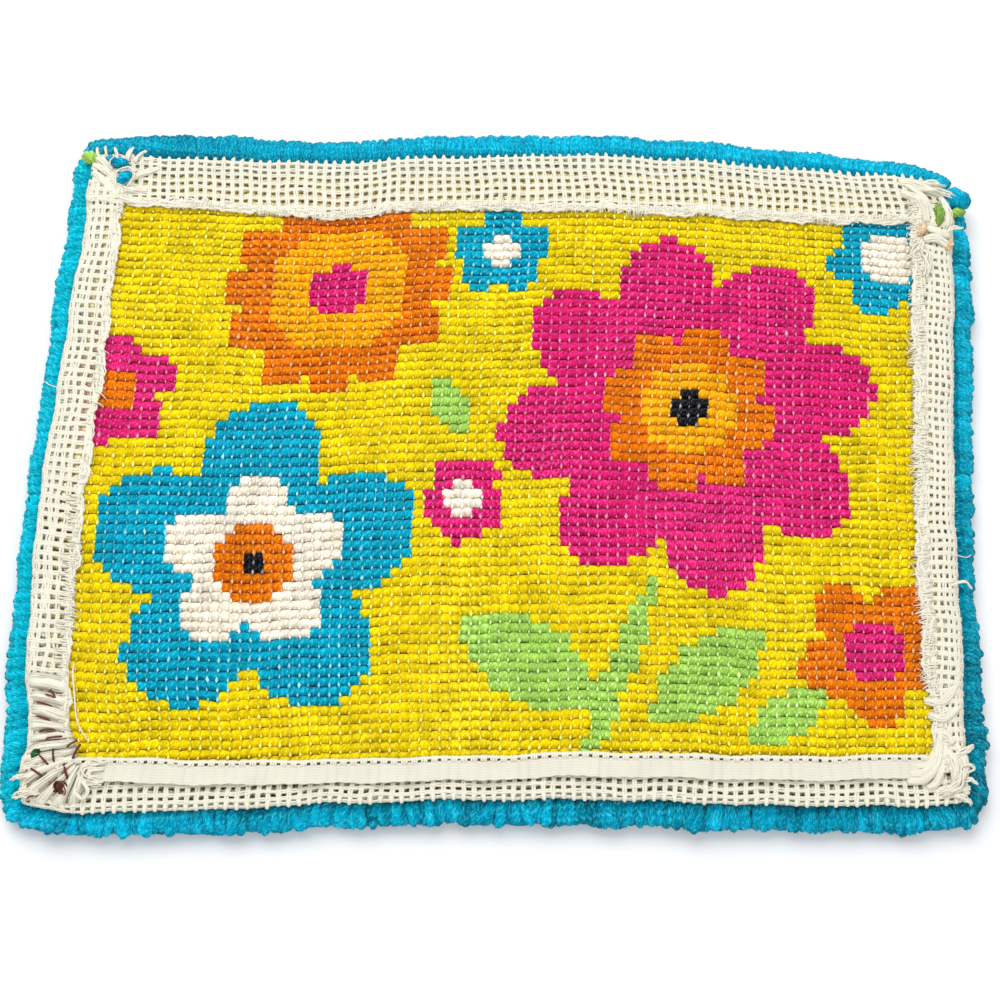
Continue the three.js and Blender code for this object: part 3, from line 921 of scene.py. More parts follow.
def tapePart():
    # The woven edge of the canvas, turned back on the near hem: a sheet from near the turned edge back
    # towards the fold, level over + lift t^3 (1 + waves), with ribs |sin| along it and a soft crease across
    # each mesh.
    u = np.linspace(tape["from"], width - tape["to"], 351)[:, None]
    t = np.linspace(0, 1, 2 * tape["ribs"] + 1)[None]
    hem = hemLength("near", u / width)
    rise = tape["over"] + tape["lift"] * t ** 3 * (1 + sines(u, tape["ripples"]))
    distance = hem - tape["gap"] - (tape["width"] - tape["gap"]) * t + sines(u, tape["bends"])
    ribs = tape["ribDepth"] * np.abs(np.sin(np.pi * tape["ribs"] * t))
    crease = -tape["crease"] * np.abs(np.cos(np.pi * u / pitch)) ** 10 * (0.6 + 0.4 * np.sin(u / (4 * mm)))
    across = u + 0 * t
    upper = hemPlace("near", across, distance, rise + tape["thick"] / 2 + ribs + crease)
    lower = hemPlace("near", across, distance, rise - tape["thick"] / 2)
    # painted shade, darker in the grooves of the ribs and in the creases
    tone = tape["tone"] + tape["ribShade"] * (ribs - tape["ribDepth"]) / mm
    tone = tone + tape["creaseShade"] * crease / mm
    tone = np.append(np.concatenate([tone, tone[:, ::-1]], 1).ravel(), [0.9, 0.9])
    return slabPart(upper, lower, dye["canvas"] * tone[:, None])


turnedEdge = {
    "along": [(0.7, -1.4), (0.4, 0.0), (1.2, 0.5)],  # threads: in from the edge, and up from the tape, in mm
    "radius": 0.75 * mm,
    "acrossRadius": 0.82 * mm,
    "apart": [-1.5 * mm, 0, 1.5 * mm],  # the three threads of a mesh
    "from": 3.7 * mm,  # in from the edge, under the tape
    "out": 0.3 * mm,  # and past it
    "rise": 0.75 * mm,
    "fall": 2.4 * mm,
    "stray": 0.1 * mm,
    "slots": (5 * mm, 1 * mm),  # a sheet of canvas behind them, drawn dark as painted shade
    "slotDrop": 1.7 * mm,
    "slotShade": 0.5,
}


def turnedEdgePart(rng):
    # The turned edge: threads along it, and over each mesh the threads that cross it, which come out from
    # under the tape, go over the edge and down. Between them, beside the tape, the last meshes show as dark
    # slots, over a sheet of canvas darkened by painted shade.
    columns = np.arange(cloth["across"]) + 0.5
    u = (np.arange(2 * cloth["across"]) + 0.5)[None] * pitch / 2 * np.ones((3, 1))
    hem = hemLength("near", u / width)
    inward, upward = (np.array(turnedEdge["along"]) * mm).T[..., None]
    stray = turnedEdge["stray"] * rng.standard_normal(u.shape)
    edge = hemPlace("near", u, hem - inward + stray, tape["over"] + upward)
    t = np.linspace(0, 1, 6)[None]
    paths = []
    for offset in turnedEdge["apart"]:
        line = (columns * pitch + offset)[:, None]
        line = line + turnedEdge["stray"] * rng.standard_normal((len(columns), 6))
        inset = turnedEdge["from"] - (turnedEdge["from"] + turnedEdge["out"]) * np.sin(0.5 * np.pi * t)
        rise = tape["over"] + turnedEdge["rise"] - turnedEdge["fall"] * t ** 5
        paths.append(hemPlace("near", line, hemLength("near", line / width) - inset, rise))
    low = tape["over"] - turnedEdge["slotDrop"]
    under = np.stack([hemPlace("near", u[0], hem[0] - inset, low) for inset in turnedEdge["slots"]], 1)
    # painted shade: a dark sheet of canvas under the slots
    shaded = slabPart(under - [0, 0, 0.5 * mm], under, dye["lint"] * turnedEdge["slotShade"])
    crossing = threadPart(np.concatenate(paths), turnedEdge["acrossRadius"])
    return joinParts([threadPart(edge, turnedEdge["radius"]), crossing, shaded])


corners = {"farLeft": (0, 1), "farRight": (1, 1), "nearLeft": (0, 0), "nearRight": (1, 0)}  # right, far

# Gathered folds at the corners: mm in from the corner along its two edges and up from the hem, then the
# threads on the fold and the radius of its soft body.
gathers = {
    "farLeft": [  # puckers from the corner
        ([(1, 4, 0), (9, 8, 1), (15, 14, 0)], 7, 2.8),
        ([(2, 10, 0), (9, 14, 1), (19, 21, 0.5), (27, 30, 0)], 8, 2.6),
        ([(2, 16, 0), (7, 21, 1), (14, 28, 0), (21, 38, -1)], 7, 2.4),
        ([(26, 22, 0), (34, 17, 1), (42, 13, 0.5), (50, 9, 0)], 6, 2),
        ([(22, 27, 0), (31, 28, 0.6), (42, 27, 0)], 6, 2.2),
        ([(20, 31, 0), (27, 36, 0.6), (38, 37, 0)], 7, 2.6),
        ([(13, 24, 0), (19, 31, 0.6), (25, 41, 0)], 6, 2.2),
    ],
    "farRight": [  # a heap down to the side hem
        ([(34, 6, 0), (18, 8, 2), (3, 11, 1)], 8, 3.4),
        ([(34, 15, 0), (24, 22, 2), (20, 37, 1)], 8, 4),
        ([(29, 8, 0), (20, 17, 2), (17, 30, 1)], 7, 3.2),
        ([(22, 52, 1), (13, 50, 2), (3, 55, 0)], 8, 3.6),
        ([(20, 42, 1), (13, 44, 1.6), (4, 46, 0)], 8, 3),
        ([(5, 12, 0), (4, 24, 1.2), (5, 38, 0)], 6, 2.4),
    ],
    "nearRight": [  # the tape's end drawn together into ropes, and the side hem's rolled end
        ([(42, 15, 1), (31, 16, 2), (22, 25, 2.5), (18, 41, 1)], 8, 2.6),
        ([(40, 20, 1), (30, 21, 2), (23, 30, 2.5), (19, 44, 1)], 8, 2.6),
        ([(36, 25, 1), (28, 26, 2), (22, 35, 2.2), (17, 48, 1)], 7, 2.4),
        ([(29, 11, 0), (23, 14, 1), (18, 26, 1), (15, 40, 0)], 8, 2.8),
        ([(14, 36, 0), (9, 25, 1), (10, 12, 0)], 9, 3.6),
        ([(8, 40, -1), (3, 28, 0), (3, 14, -1)], 7, 3),
        ([(24, 8, -1), (13, 8, 0), (3, 7, -1)], 8, 3.2),
        ([(22, 50, -1), (15, 47, 0), (10, 40, 0)], 8, 3.2),
        ([(25, 61, -1), (14, 58, 0), (4, 66, -1)], 8, 3.2),
        ([(27, 71, -1), (15, 70, 0), (5, 82, -1)], 7, 3),
    ],
}

# Loose threads: corner, how many, how far they spread, the radius of one, and their way, measured as above.
looseThreads = [
    ("nearLeft", 7, 2.2, 0.75, [(54, 31, 3), (44, 30, 3.4), (39, 25, 3.6), (43, 19, 3.4), (54, 17, 2.6)]),
    ("nearLeft", 4, 1.4, 0.75, [(54, 27, 3), (46, 26, 3.4), (46, 22, 3.4), (54, 21, 3)]),
    ("farLeft", 4, 1, 0.85, [(6, 6, 1), (4.5, 0, 1.5), (3.5, -5.5, -1)]),
    ("farLeft", 3, 0.8, 0.85, [(12, 6, 1), (10.5, 0, 2), (10, -5, 0)]),
    ("farLeft", 3, 0.8, 0.85, [(20, 7, 1), (19, 1, 2), (17, -4, 0)]),
    ("farLeft", 4, 0.8, 0.85, [(26, 7, 1), (28, 1, 2.4), (31, -4.5, 1)]),
    ("farLeft", 4, 0.8, 0.85, [(32, 7, 1), (35, 2, 2.2), (40, -3.5, 0)]),
    ("farLeft", 2, 0.5, 0.5, [(15, 17, 3), (15, 9, 6), (22, 4, 6.4), (29, 7, 4)]),
    ("farLeft", 3, 0.5, 0.5, [(20, 28, 3), (20, 18, 6), (28, 13, 6.4), (33, 18, 5), (28, 27, 3)]),
    ("farRight", 7, 2.2, 0.85, [(22, 12, 3), (8, 9, 5), (-2, 11, 2), (-6, 14, 0)]),
    ("farRight", 5, 1.6, 0.85, [(16, 5, 2), (6, 2, 4), (-3, 1, 0)]),
    ("farRight", 2, 0.9, 0.5, [(5, 17, 1), (2, 26, 4), (4, 38, 4), (8, 45, 1)]),
    ("farRight", 5, 1.4, 0.85, [(9, 44, 1), (0, 41, 3), (-6, 39, 0)]),
    ("farRight", 7, 2.6, 0.85, [(24, 54, 1), (26, 60, 2.4), (32, 68, 1)]),
    ("farRight", 7, 3, 0.85, [(24, 60, 1), (20, 70, 2.2), (22, 84, 1)]),
    ("nearLeft", 3, 0.8, 0.85, [(40, 20, 3), (46, 13, 4), (44, 7, 3), (37, 12, 3.6)]),
    ("nearLeft", 4, 1.8, 0.85, [(8, 18, 1), (0, 16, 3), (-5, 15, 0)]),
    ("nearLeft", 5, 2, 0.85, [(14, 8, 2), (3, 4, 4), (-3, 3, 1)]),
    ("nearLeft", 1, 0, 0.7, [(33, 96, 1), (32.5, 70, 1.6), (34, 56, 1.6), (40, 46, 0.5)]),
    ("nearRight", 8, 3, 0.85, [(20, 6, 2), (10, 12, 5), (4, 22, 3)]),
    ("nearRight", 4, 1.4, 0.85, [(12, 30, 1), (2, 34, 3), (-4, 38, 0)]),
    ("nearRight", 2, 0.8, 0.85, [(10, 22, 1), (0, 24, 3), (-4, 21, 1), (2, 18, 2)]),
    ("nearRight", 4, 1.4, 0.85, [(10, 14, 1), (0, 14, 3), (-5, 11, 0)]),
    ("nearRight", 6, 2.4, 0.85, [(12, 5, 1), (3, 0, 2), (-3, -4, -2)]),
    ("farLeft", 1, 0, 0.4, [(6, 186, 1), (-4, 183, 1), (-9, 179, -3), (-12, 181, -6)]),
    ("farRight", 1, 0, 0.4, [(6, 298, 1), (-4, 301, 1), (-10, 297, -4)]),
    ("farRight", 2, 0.8, 0.85, [(6, 322, 1), (-3, 320, 1.5), (-9, 323, -3)]),
]

# Whip stitches in brown thread between the gathered pleats: from, to, in mm from the near left corner,
# radius.
stitches = [
    [(12.6, 72.5), (19.8, 71.5), 0.56], [(16.8, 77), (19.2, 72.5), 0.56], [(6.6, 66.5), (16.8, 65), 0.616],
    [(6.6, 57), (16.2, 55), 0.616], [(9, 47), (18.6, 50), 0.672], [(13, 42.5), (23.4, 46.5), 0.672],
    [(27.6, 40.5), (33.6, 45.5), 0.672], [(33, 34), (36, 43), 0.896], [(19, 37), (21.4, 29), 0.728],
    [(10, 32), (18.6, 26), 0.728], [(28, 29), (31.8, 20), 0.952], [(7, 22.4), (20, 15.8), 0.784],
    [(7, 3), (11, 5.5), 0.672],
]

# Ends of yarn caught at the corners: corner, radius, dye, its tone, and their way.
yarnEnds = [
    ("farLeft", 4.8, "leaf", 1, [(4, 6, -1), (-2, 3, 0), (-8, 1, -3)]),
    ("farLeft", 2.8, "border", 1, [(11, 7, 1), (15, 6, 3.2), (19, 8, 1)]),
    ("farLeft", 3.4, "border", 1, [(17, 11, 1), (22, 8, 3.6), (27, 9, 1)]),
    ("farLeft", 4, "border", 1, [(21, 25, 1), (25, 20, 3.8), (29, 16, 1)]),
    ("farRight", 3.8, "leaf", 0.62, [(10.5, 20, 0), (10, 28, 3.2), (11, 38, 0)]),
    ("farRight", 3.4, "leaf", 0.78, [(2, 27, -1), (-4, 25, 0), (-11, 23, -4)]),
    ("farRight", 8.4, "border", 1, [(4, 13, -5), (-7, 11, -5), (-18, 13, -8)]),
    ("farRight", 2.7, "tan", 1, [(26, 50, 1), (23, 45, 4), (21, 39, 1)]),
    ("farRight", 2.2, "tan", 1, [(5, 58, 1), (3, 54, 3.6), (3, 49, 1)]),
    ("nearLeft", 2.4, "bottle", 1, [(11, 36, 2), (8, 33, 3.4), (6, 30, 2)]),
]


def cornerPlace(corner, points):
    # Points are metres in from the corner along its edges and over the hem's middle.
    right, far = corners[corner]
    u, v, up = np.moveaxis(points, -1, 0)
    return clothMap(width - u if right else u, depth - v if far else v, cloth["hemLevel"] + up)


def curveThrough(points, samples):
    # A smooth line through the points: cubic pieces whose slope at a point is half the step between its
    # neighbours (Catmull-Rom).
    points = np.asarray(points, float) * mm
    padded = np.concatenate([2 * points[:1] - points[1:2], points, 2 * points[-1:] - points[-2:-1]])
    place = np.linspace(0, len(points) - 1, samples)
    k = np.minimum(place.astype(int), len(points) - 2)
    t = (place - k)[:, None]
    p0, p1, p2, p3 = (padded[k + i] for i in range(4))
    return p1 + 0.5 * t * (p2 - p0 + t * (2 * p0 - 5 * p1 + 4 * p2 - p3 + t * (3 * (p1 - p2) + p3 - p0)))


# The near left corner's cloth, drawn together round the corner of the field: the valleys between its
# pleats, from the side hem round to the tape, each from its inner to its outer end in mm from the corner.
valleys = [
    [(27, 88), (3, 88)], [(27, 75), (2, 76)], [(28, 66), (2, 67)], [(28, 55), (2, 57.5)],
    [(29, 51), (2, 46)], [(31, 47), (2, 38)], [(33, 42), (1, 29)], [(34, 38), (0, 19)], [(35, 35), (1, 8)],
    [(36, 33), (8, 1)], [(37, 31), (20, 1)], [(39, 30), (32, 2)], [(43, 29), (42, 5)],
]

pleats = {
    "level": 0.2 * mm,  # of the valleys over the hem's middle
    "height": 4.4 * mm,
    "uneven": 0.25,
    "fall": 4.2 * mm,  # down to the fold
    "lip": 1.6 * mm,  # down to the cut edge
    "thick": 1.5 * mm,
    "shade": (0.3, 0.75),  # painted shade: the dye's share in a valley, and how much more there is on a crest
    "shadeWarmth": [0.9, 1.05, 1.2],  # powers that leave the painted shade in the valleys warmer
    "threads": 90,
    "threadRadius": 0.5 * mm,
    "threadRise": 0.25 * mm,
    "threadShade": (0.42, 0.64),
}


def pleatedPoints(station, t, rise):
    # The gathered cloth's face: between two valleys it rises as |sin|^0.5, most in the middle of its width
    # and each pleat by its own height, and falls away to the fold and to the cut edge.
    inner, outer = (curveThrough([row[i] for row in valleys], 12 * (len(valleys) - 1) + 1) for i in (0, 1))
    places = np.linspace(0, len(valleys) - 1, len(inner))
    inner, outer = (np.stack([np.interp(station, places, line[:, i]) for i in (0, 1)], -1)
                    for line in (inner, outer))
    flat = inner[..., None, :] * (1 - t[:, None]) + outer[..., None, :] * t[:, None]
    own = 1 + pleats["uneven"] * np.cos(2.4 * np.floor(station))
    acrossIt = 0.35 + 0.65 * np.sin(np.pi * (0.1 + 0.75 * t))
    pleat = (own * np.abs(np.sin(np.pi * station)) ** 0.5)[..., None] * acrossIt
    z = pleats["level"] + pleats["height"] * pleat - pleats["fall"] * t ** 7 - pleats["lip"] * (1 - t) ** 6
    z = z + rise
    return np.concatenate([flat, z[..., None]], -1)


def pleatedPart(rng):
    # The gathered cloth as a closed sheet, with the canvas threads that cross it lying on its face. Between
    # two valleys the dye's share is shade + more |sin|^0.8: painted shade, deepest and warmest in a valley.
    station, t = np.linspace(0, len(valleys) - 1, 7 * (len(valleys) - 1) + 1), np.linspace(0, 1, 12)
    uneven = 0.45 * mm * wander(len(station), len(t), 2, rng)
    upper, lower = (pleatedPoints(station, t, uneven - down) for down in (0, pleats["thick"]))
    shade, more = pleats["shade"]
    shade = shade + more * np.repeat(np.abs(np.sin(np.pi * station)) ** 0.8, 2 * len(t))
    tint = dye["canvas"] * np.concatenate([shade, [1, 1]])[None, :, None] ** pleats["shadeWarmth"]
    sheet = slabPart(cornerPlace("nearLeft", upper), cornerPlace("nearLeft", lower), tint)
    station = np.sort(rng.uniform(0.02, len(valleys) - 1.02, pleats["threads"]))
    t = np.linspace(0.02, 0.98, 11)
    paths = pleatedPoints(station, t, pleats["threadRise"])
    paths[..., :2] += 0.35 * mm * np.stack([wander(len(station), 11, 3, rng) for _ in range(2)], -1)
    # painted shade on the threads, deepest in the valleys
    shade, more = pleats["threadShade"]
    shade = shade + more * np.abs(np.sin(np.pi * station)) ** 0.8
    radius = pleats["threadRadius"] * rng.uniform(0.6, 1.2, (len(station), 1))
    threads = tubePart(cornerPlace("nearLeft", paths), radius, 4, dye["canvas"] * shade[:, None])
    return joinParts([sheet, threads])


def gatherPart(corner, points, count, body, rng):
    # A gathered fold: a soft body that swells as 0.55 + 0.45 sin(pi t), and threads along its upper side, at
    # angles from one flank over the top to the other.
    samples = 4 + 4 * len(points)
    spine = curveThrough(points, samples)[None]
    t = np.linspace(0, 1, samples)
    body = body * mm * (0.55 + 0.45 * np.sin(np.pi * t)) * (1 + 0.05 * wander(1, samples, 2, rng)[0])
    _, n1, n2 = frameAlong(spine, (0, 0, 1))
    angle = np.linspace(-1.35, 1.35, count)[:, None] + 0.16 * wander(count, samples, 4, rng)
    out = body * (0.9 + 0.06 * rng.standard_normal((count, 1)))
    threads = spine + (out * np.cos(angle))[..., None] * n1 + (out * np.sin(angle))[..., None] * n2
    thick = 0.9 * mm * rng.uniform(0.75, 1.2, (count, 1)) * np.ones(samples)
    core = tubePart(cornerPlace(corner, spine), body * 0.92, 10, dye["canvas"] * 0.92)
    return joinParts([core, threadPart(cornerPlace(corner, threads), thick)])


def loosePart(corner, count, spread, radius, points, rng):
    # Threads round one curve: each at its own place within the spread, straying slowly as it goes.
    samples = 3 + 4 * len(points)
    spine = curveThrough(points, samples)
    apart = rng.uniform(-1, 1, (count, 1, 3)) * spread * mm * [1, 1, 0.45]
    stray = np.stack([wander(count, samples, 3, rng) for _ in range(3)], -1) * spread * mm * 0.28
    narrowed = (1 - 0.35 * np.cos(2 * np.pi * np.linspace(0, 1, samples)))[None, :, None] * 0.75
    local = spine[None] + apart * narrowed + stray + [0, 0, 0.6 * mm]
    thick = radius * mm * rng.uniform(0.8, 1.15, (count, 1))
    return threadPart(cornerPlace(corner, local), thick * np.linspace(1, 0.8, samples))


brownKnot = {
    "middle": (27.5, 13.5, 5.0),  # mm from the corner
    "size": (4.8, 3.6, 1.8),
    "turns": 13,
    "samples": 170,
    "radius": 0.45 * mm,
    "bow": (3.0 * mm, 1.8 * mm),  # of a stitch: its ends over the hem's middle, and its crest over them
}


def stitchPart():
    # Each stitch bows up over its pleat as 1 - t^2. The knot is a short thread wound back and forth by sines
    # whose turns don't match, so that no two rounds lie alike.
    t = np.linspace(-1, 1, 7)[None, :, None]
    start, end = (np.array([row[i] for row in stitches], float)[:, None] * mm for i in (0, 1))
    line = start * (1 - t) / 2 + end * (1 + t) / 2
    ends, crest = brownKnot["bow"]
    bow = (ends + crest * (1 - t * t)) * np.ones_like(line[..., :1])
    radius = np.array([row[2] for row in stitches])[:, None] * mm
    bowed = cornerPlace("nearLeft", np.concatenate([line, bow], -1))
    turns = np.linspace(0, brownKnot["turns"] * 2 * np.pi, brownKnot["samples"])
    size = (0.62 + 0.38 * np.cos(turns * 0.173))[:, None] * brownKnot["size"]
    rounds = [np.cos(turns) * np.cos(turns * 0.41), np.sin(turns * 1.13), np.sin(turns * 1.7)]
    drift = [1.4 * np.sin(turns * 0.37), 0.9 * np.cos(turns * 0.29), 0 * turns]
    wound = brownKnot["middle"] + size * np.stack(rounds, -1) + np.stack(drift, -1)
    knot = cornerPlace("nearLeft", wound[None] * mm)
    tone = np.append(np.repeat(0.85 + 0.35 * np.sin(turns * 0.61), 4), [0.9, 0.9])
    return joinParts([tubePart(bowed, radius, 5, dye["brown"]),
                      tubePart(knot, brownKnot["radius"], 4, dye["brown"] * tone[None, :, None])])


def yarnEndPart(corner, radius, colour, tone, points):
    # A short end of yarn, thick in the middle and blunt, with its three plies turned once.
    path = cornerPlace(corner, curveThrough(points, 9)[None])
    thick = radius * mm * np.sqrt(1 - (np.linspace(-0.86, 0.92, 9)) ** 2 * 0.9)
    return tubePart(path, thick, 12, dye[colour] * tone, lobes=0.12, turns=1.0)


rng = np.random.default_rng(canvas["seed"])
mainParts = [groundPart(), tapePart(), turnedEdgePart(rng), hemPart("far", rng), hemPart("near", rng)]
canvasPiece = makePiece("rugCanvas", joinParts(mainParts), "canvas")
sideParts = [hemPart(side, rng) for side in ("left", "right")]
sidePiece = makePiece("sideHems", joinParts(sideParts), "canvas")
cornerParts = [gatherPart(corner, *row, rng) for corner, rows in gathers.items() for row in rows]
cornerParts += [loosePart(*row, rng) for row in looseThreads] + [pleatedPart(rng), stitchPart()]
cornerPiece = makePiece("cornerThreads", joinParts(cornerParts), "canvas")
makePiece("cornerYarn", joinParts([yarnEndPart(*row) for row in yarnEnds]), "pile_border")


border = {
    "radius": 3.5 * mm,
    "lobes": 0.13,  # three plies in the section
    "twist": 1.1,  # turns of the plies in one end
    "slant": {"far": 0.1, "near": 0.22, "left": 0.15, "right": 0.15},  # sideways lean for each unit of reach
    "stations": [0, 0.15, 0.3, 0.45, 0.6, 0.73, 0.84, 0.92, 0.97, 1],
    "swell": [0.8, 0.95, 1.0, 1.03, 1.05, 1.06, 1.04, 0.92, 0.7, 0.34],  # the radius there: blunt ends
    "tone": {  # painted shade beside the fold, under the hem, and painted light further out
        "far": [0.42, 0.46, 0.66, 0.98, 1.05, 1.05, 1.02, 0.98, 0.95, 0.92],
        "near": [0.5, 0.52, 0.6, 0.78, 0.96, 1.04, 1.04, 1.0, 0.94, 0.9],
        "left": [0.62, 0.7, 0.9, 1.04, 1.1, 1.12, 1.12, 1.08, 1.02, 0.98],
        "right": [0.6, 0.62, 0.7, 0.86, 1.02, 1.08, 1.08, 1.05, 1.0, 0.96],
    },
    "alongLight": {  # painted light and shade along each edge: how much lighter or darker the yarn is drawn at its start, middle and end
        "far": (0.78, 1.1, 1.11),
        "near": (1.28, 0.96, 0.95),
        "left": (1.22, 1.22, 1.16),
        "right": (0.57, 0.96, 1.29),
    },
    # The dye's blue cut to this share along each edge. And how far the yarn leans out at the start and the
    # end of an edge.
    "blueShare": {"far": 0.95, "near": 0.96, "left": 0.85, "right": 0.93},
    "fan": {"far": (0.2, 1.1), "near": (1.1, 1.1), "left": (1.1, 0.1), "right": (1.1, 1.1)},
    "bury": 3 * mm,  # how far inside the fold the ends start
    "rise": 3 * mm,  # their bow up
    "drop": 8 * mm,  # how far they sink out to their tips
    "curl": 15 * mm,  # sideways, for each unit of unevenness
    "levelStray": 12 * mm,
    "sides": {"upper": 8, "lower": 6},
    "uneven": {"far": 0.012, "near": 0.055, "left": 0.03, "right": 0.045},
    "mottle": {"far": 0.05, "near": 0.16, "left": 0.1, "right": 0.14},
    "rollDrop": {"far": 0.0, "near": 3.0 * mm, "left": 1.5 * mm, "right": 2.2 * mm},
    # The imported yarn behind the cut ends. Round its section: out, as a share of the reach, or inside the
    # fold in mm where it is below 0, and up in mm. And its painted shade there, deepest up by the fold.
    "rollSection": [(-3, 3), (0.45, 1.6), (0.74, 3.2), (0.87, 6.5), (0.85, 10.5), (0.7, 14.2), (0.44, 16.8),
                    (0.12, 16.8), (-3, 15)],
    "rollShade": [0.8, 0.8, 0.85, 0.9, 0.92, 0.9, 0.72, 0.55, 0.5],
    "rollSeed": 3,
    "fibres": 6400,
    "fibreRadius": 0.15 * mm,  # far finer in the real yarn, which would not show
    "seed": 23,
}


def strandSet(side, spacing, levels, share, rng):
    # Cut ends of yarn that come out under a fold. Out: from bury inside it to reach * share, less the round
    # end. Up: level + rise sin(0.8 pi t) - drop t^2.4. Sideways: the slant, which wanders slowly, and near a
    # corner fans out as (2 at - 1)^9.
    length = sideLength(side)
    count = int(length / spacing)
    along = (np.arange(count) + 0.5) * length / count
    at = along / length
    unevenness = border["uneven"][side]
    uneven = 1 + unevenness * (rng.standard_normal(count) + wander(1, count, 3, rng)[0])
    reach = edgeAt(side, "pile", at) * share * uneven - 0.5 * border["radius"]
    slant = border["slant"][side] * (0.8 * wander(1, count, 6, rng)[0] + 0.5 * rng.standard_normal(count))
    slant = slant + np.where(at < 0.5, *border["fan"][side]) * (2 * at - 1) ** 9
    t = np.array(border["stations"])[None]
    out = -border["bury"] + (reach[:, None] + border["bury"]) * t
    curl = border["curl"] * unevenness * rng.standard_normal((count, 1)) * np.sin(np.pi * t * 1.5)
    u = along[:, None] + slant[:, None] * reach[:, None] * t ** 1.3 + curl
    high = np.array(levels)[np.arange(count) % len(levels)] * mm
    high = high + border["levelStray"] * unevenness * rng.standard_normal(count)
    z = high[:, None] + border["rise"] * np.sin(0.8 * np.pi * t) - border["drop"] * t ** 2.4
    thickness = 1 + 1.6 * unevenness * rng.standard_normal((count, 1))
    # painted light and shade along the edge
    alongLight = np.interp(at, [0, 0.5, 1], border["alongLight"][side])
    mottle = 0.8 * border["mottle"][side] * np.clip(wander(2, count, 1, rng).sum(0), -2.4, 2.4)
    return {"paths": sidePlace(side, u, -out, np.maximum(z, 1.1 * border["radius"])),
            "radius": border["radius"] * np.array(border["swell"]) * thickness,
            "turns": border["twist"] * (1 + 0.2 * rng.standard_normal(count)),
            "phase": rng.uniform(0, 1, (count, 3)) + [[0, 0, 0.4]],
            "tone": np.array(border["tone"][side]),
            "tint": dye["border"] * (alongLight * (1 + mottle))[:, None] * [1, 1, border["blueShare"][side]]}


def strandPart(strands, sides):
    # The cut ends as twisted tubes, on their dye the tone of their stations: painted shade by the fold.
    tone = np.concatenate([np.repeat(strands["tone"], sides), strands["tone"][[0, -1]]])
    return tubePart(strands["paths"], strands["radius"], sides, strands["tint"][:, None] * tone[:, None],
                    strands["phase"], border["lobes"], strands["turns"])


def fibrePart(strands, count, rng):
    # Fibres standing out of the cut ends: three-sided needles that start on the upper side of a strand, at
    # an angle within 70 degrees of up round it, and lean along it and out.
    paths = strands["paths"]
    strand, station = rng.integers(0, len(paths), count), rng.integers(1, paths.shape[1] - 1, count)
    part = rng.uniform(0, 1, (count, 1))
    centre = paths[strand, station] * (1 - part) + paths[strand, station + 1] * part
    tangent = unit(paths[strand, station + 1] - paths[strand, station - 1])
    aside = np.cross(tangent, [0, 0, 1])
    angle = rng.uniform(-1.2, 1.2, (count, 1))
    outward = np.cos(angle) * np.cross(aside, tangent) + np.sin(angle) * aside
    base = centre + outward * strands["radius"][strand, station][:, None] * 0.97
    lean = 0.9 * tangent + outward * rng.uniform(0.1, 0.7, (count, 1))
    lean = unit(lean + 0.3 * aside * rng.standard_normal((count, 1)))
    n1 = unit(np.cross(lean, rng.standard_normal((count, 3))))
    n2 = np.cross(lean, n1)
    third = (2 * np.pi / 3 * np.arange(3))[None, :, None]
    ring = np.cos(third) * n1[:, None] + np.sin(third) * n2[:, None]
    rings = base[:, None] + border["fibreRadius"] * ring
    tip = base + lean * rng.uniform(1.4, 3.2, (count, 1)) * mm
    poles = np.stack([base - 0.2 * mm * lean, tip], 1)
    # mostly lighter than their strand: painted highlight on the standing fibres, with a random spread of
    # tone
    tint = strands["tint"][strand] * rng.uniform(0.85, 1.5, (count, 1))
    around = np.linspace(0, 1, 4)[None] * mm
    return bodyPart(rings[:, None], poles, np.zeros((count, 1)), around, tint[:, None])


def rollPart(side):
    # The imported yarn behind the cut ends, along one edge: its section an oval from the fold out to most of
    # the reach. A point that stands out by d starts d before the edge's end and stops d after it, so that
    # the rolls of two edges meet on the diagonal of their corner.
    section = np.array(border["rollSection"])
    length = sideLength(side)
    t = np.linspace(0, 1, 2 * sideMeshes(side))[:, None]
    reach = edgeAt(side, "pile", t)
    out = np.where(section[:, 0] < 0, section[:, 0] * mm, section[:, 0] * reach)
    rollRng = np.random.default_rng(border["rollSeed"])
    lumps = 0.6 * mm * wander(len(section), len(t), 2, rollRng).T * (section[:, 0] > 0)
    high = section[:, 1] * mm - np.where(section[:, 1] > 10, border["rollDrop"][side], 0)
    rings = sidePlace(side, -out + (length + 2 * out) * t, -out - lumps, high + 0 * out)[None]
    if side in ("near", "right"):
        rings = rings[:, ::-1]
    around = np.linspace(0, 60 * mm, len(section) + 1)
    # painted shade on the roll, so that the gaps between the cut ends look shaded
    tone = np.append(np.tile(border["rollShade"], len(t)), [0.8, 0.8])[:, None]
    return bodyPart(rings, endMiddles(rings), length * t[None, :, 0], around[None], dye["border"] * tone)


rng = np.random.default_rng(border["seed"])
for name, sides in (("borderPileFarNear", ("far", "near")), ("borderPileSides", ("left", "right"))):
    upper = [strandSet(side, pitch * 0.5, [14.4, 13.8], 1.0, rng) for side in sides]
    lower = [strandSet(side, pitch, [7.5, 9.5], 0.93, rng) for side in sides]
    parts = [strandPart(strands, border["sides"]["upper"]) for strands in upper]
    parts += [strandPart(strands, border["sides"]["lower"]) for strands in lower]
    parts += [rollPart(side) for side in sides]
    makePiece(name, joinParts(parts), "pile_border")
    parts = [fibrePart(strands, border["fibres"] // 4, rng) for strands in upper]
    makePiece(name + "Fibres", joinParts(parts), "pile_border")


ticks = {
    "near": (-1.8, 4.2),  # v from the line between two rows, and height over the canvas, in mm
    "belly": (0.3, 4.4),
    "far": (2.6, 4.3),
    "half": 1.0,
    "thick": 0.6,
    "pale": 0.38,  # for a dark dye: less by how light the dye is
    "valleyLight": 1.3,  # painted light: the drops, down in the shaded valleys, drawn lighter than their dye
    "paleDye": "#fdf8f2",
    "stray": 0.14,
    "seed": 31,
}


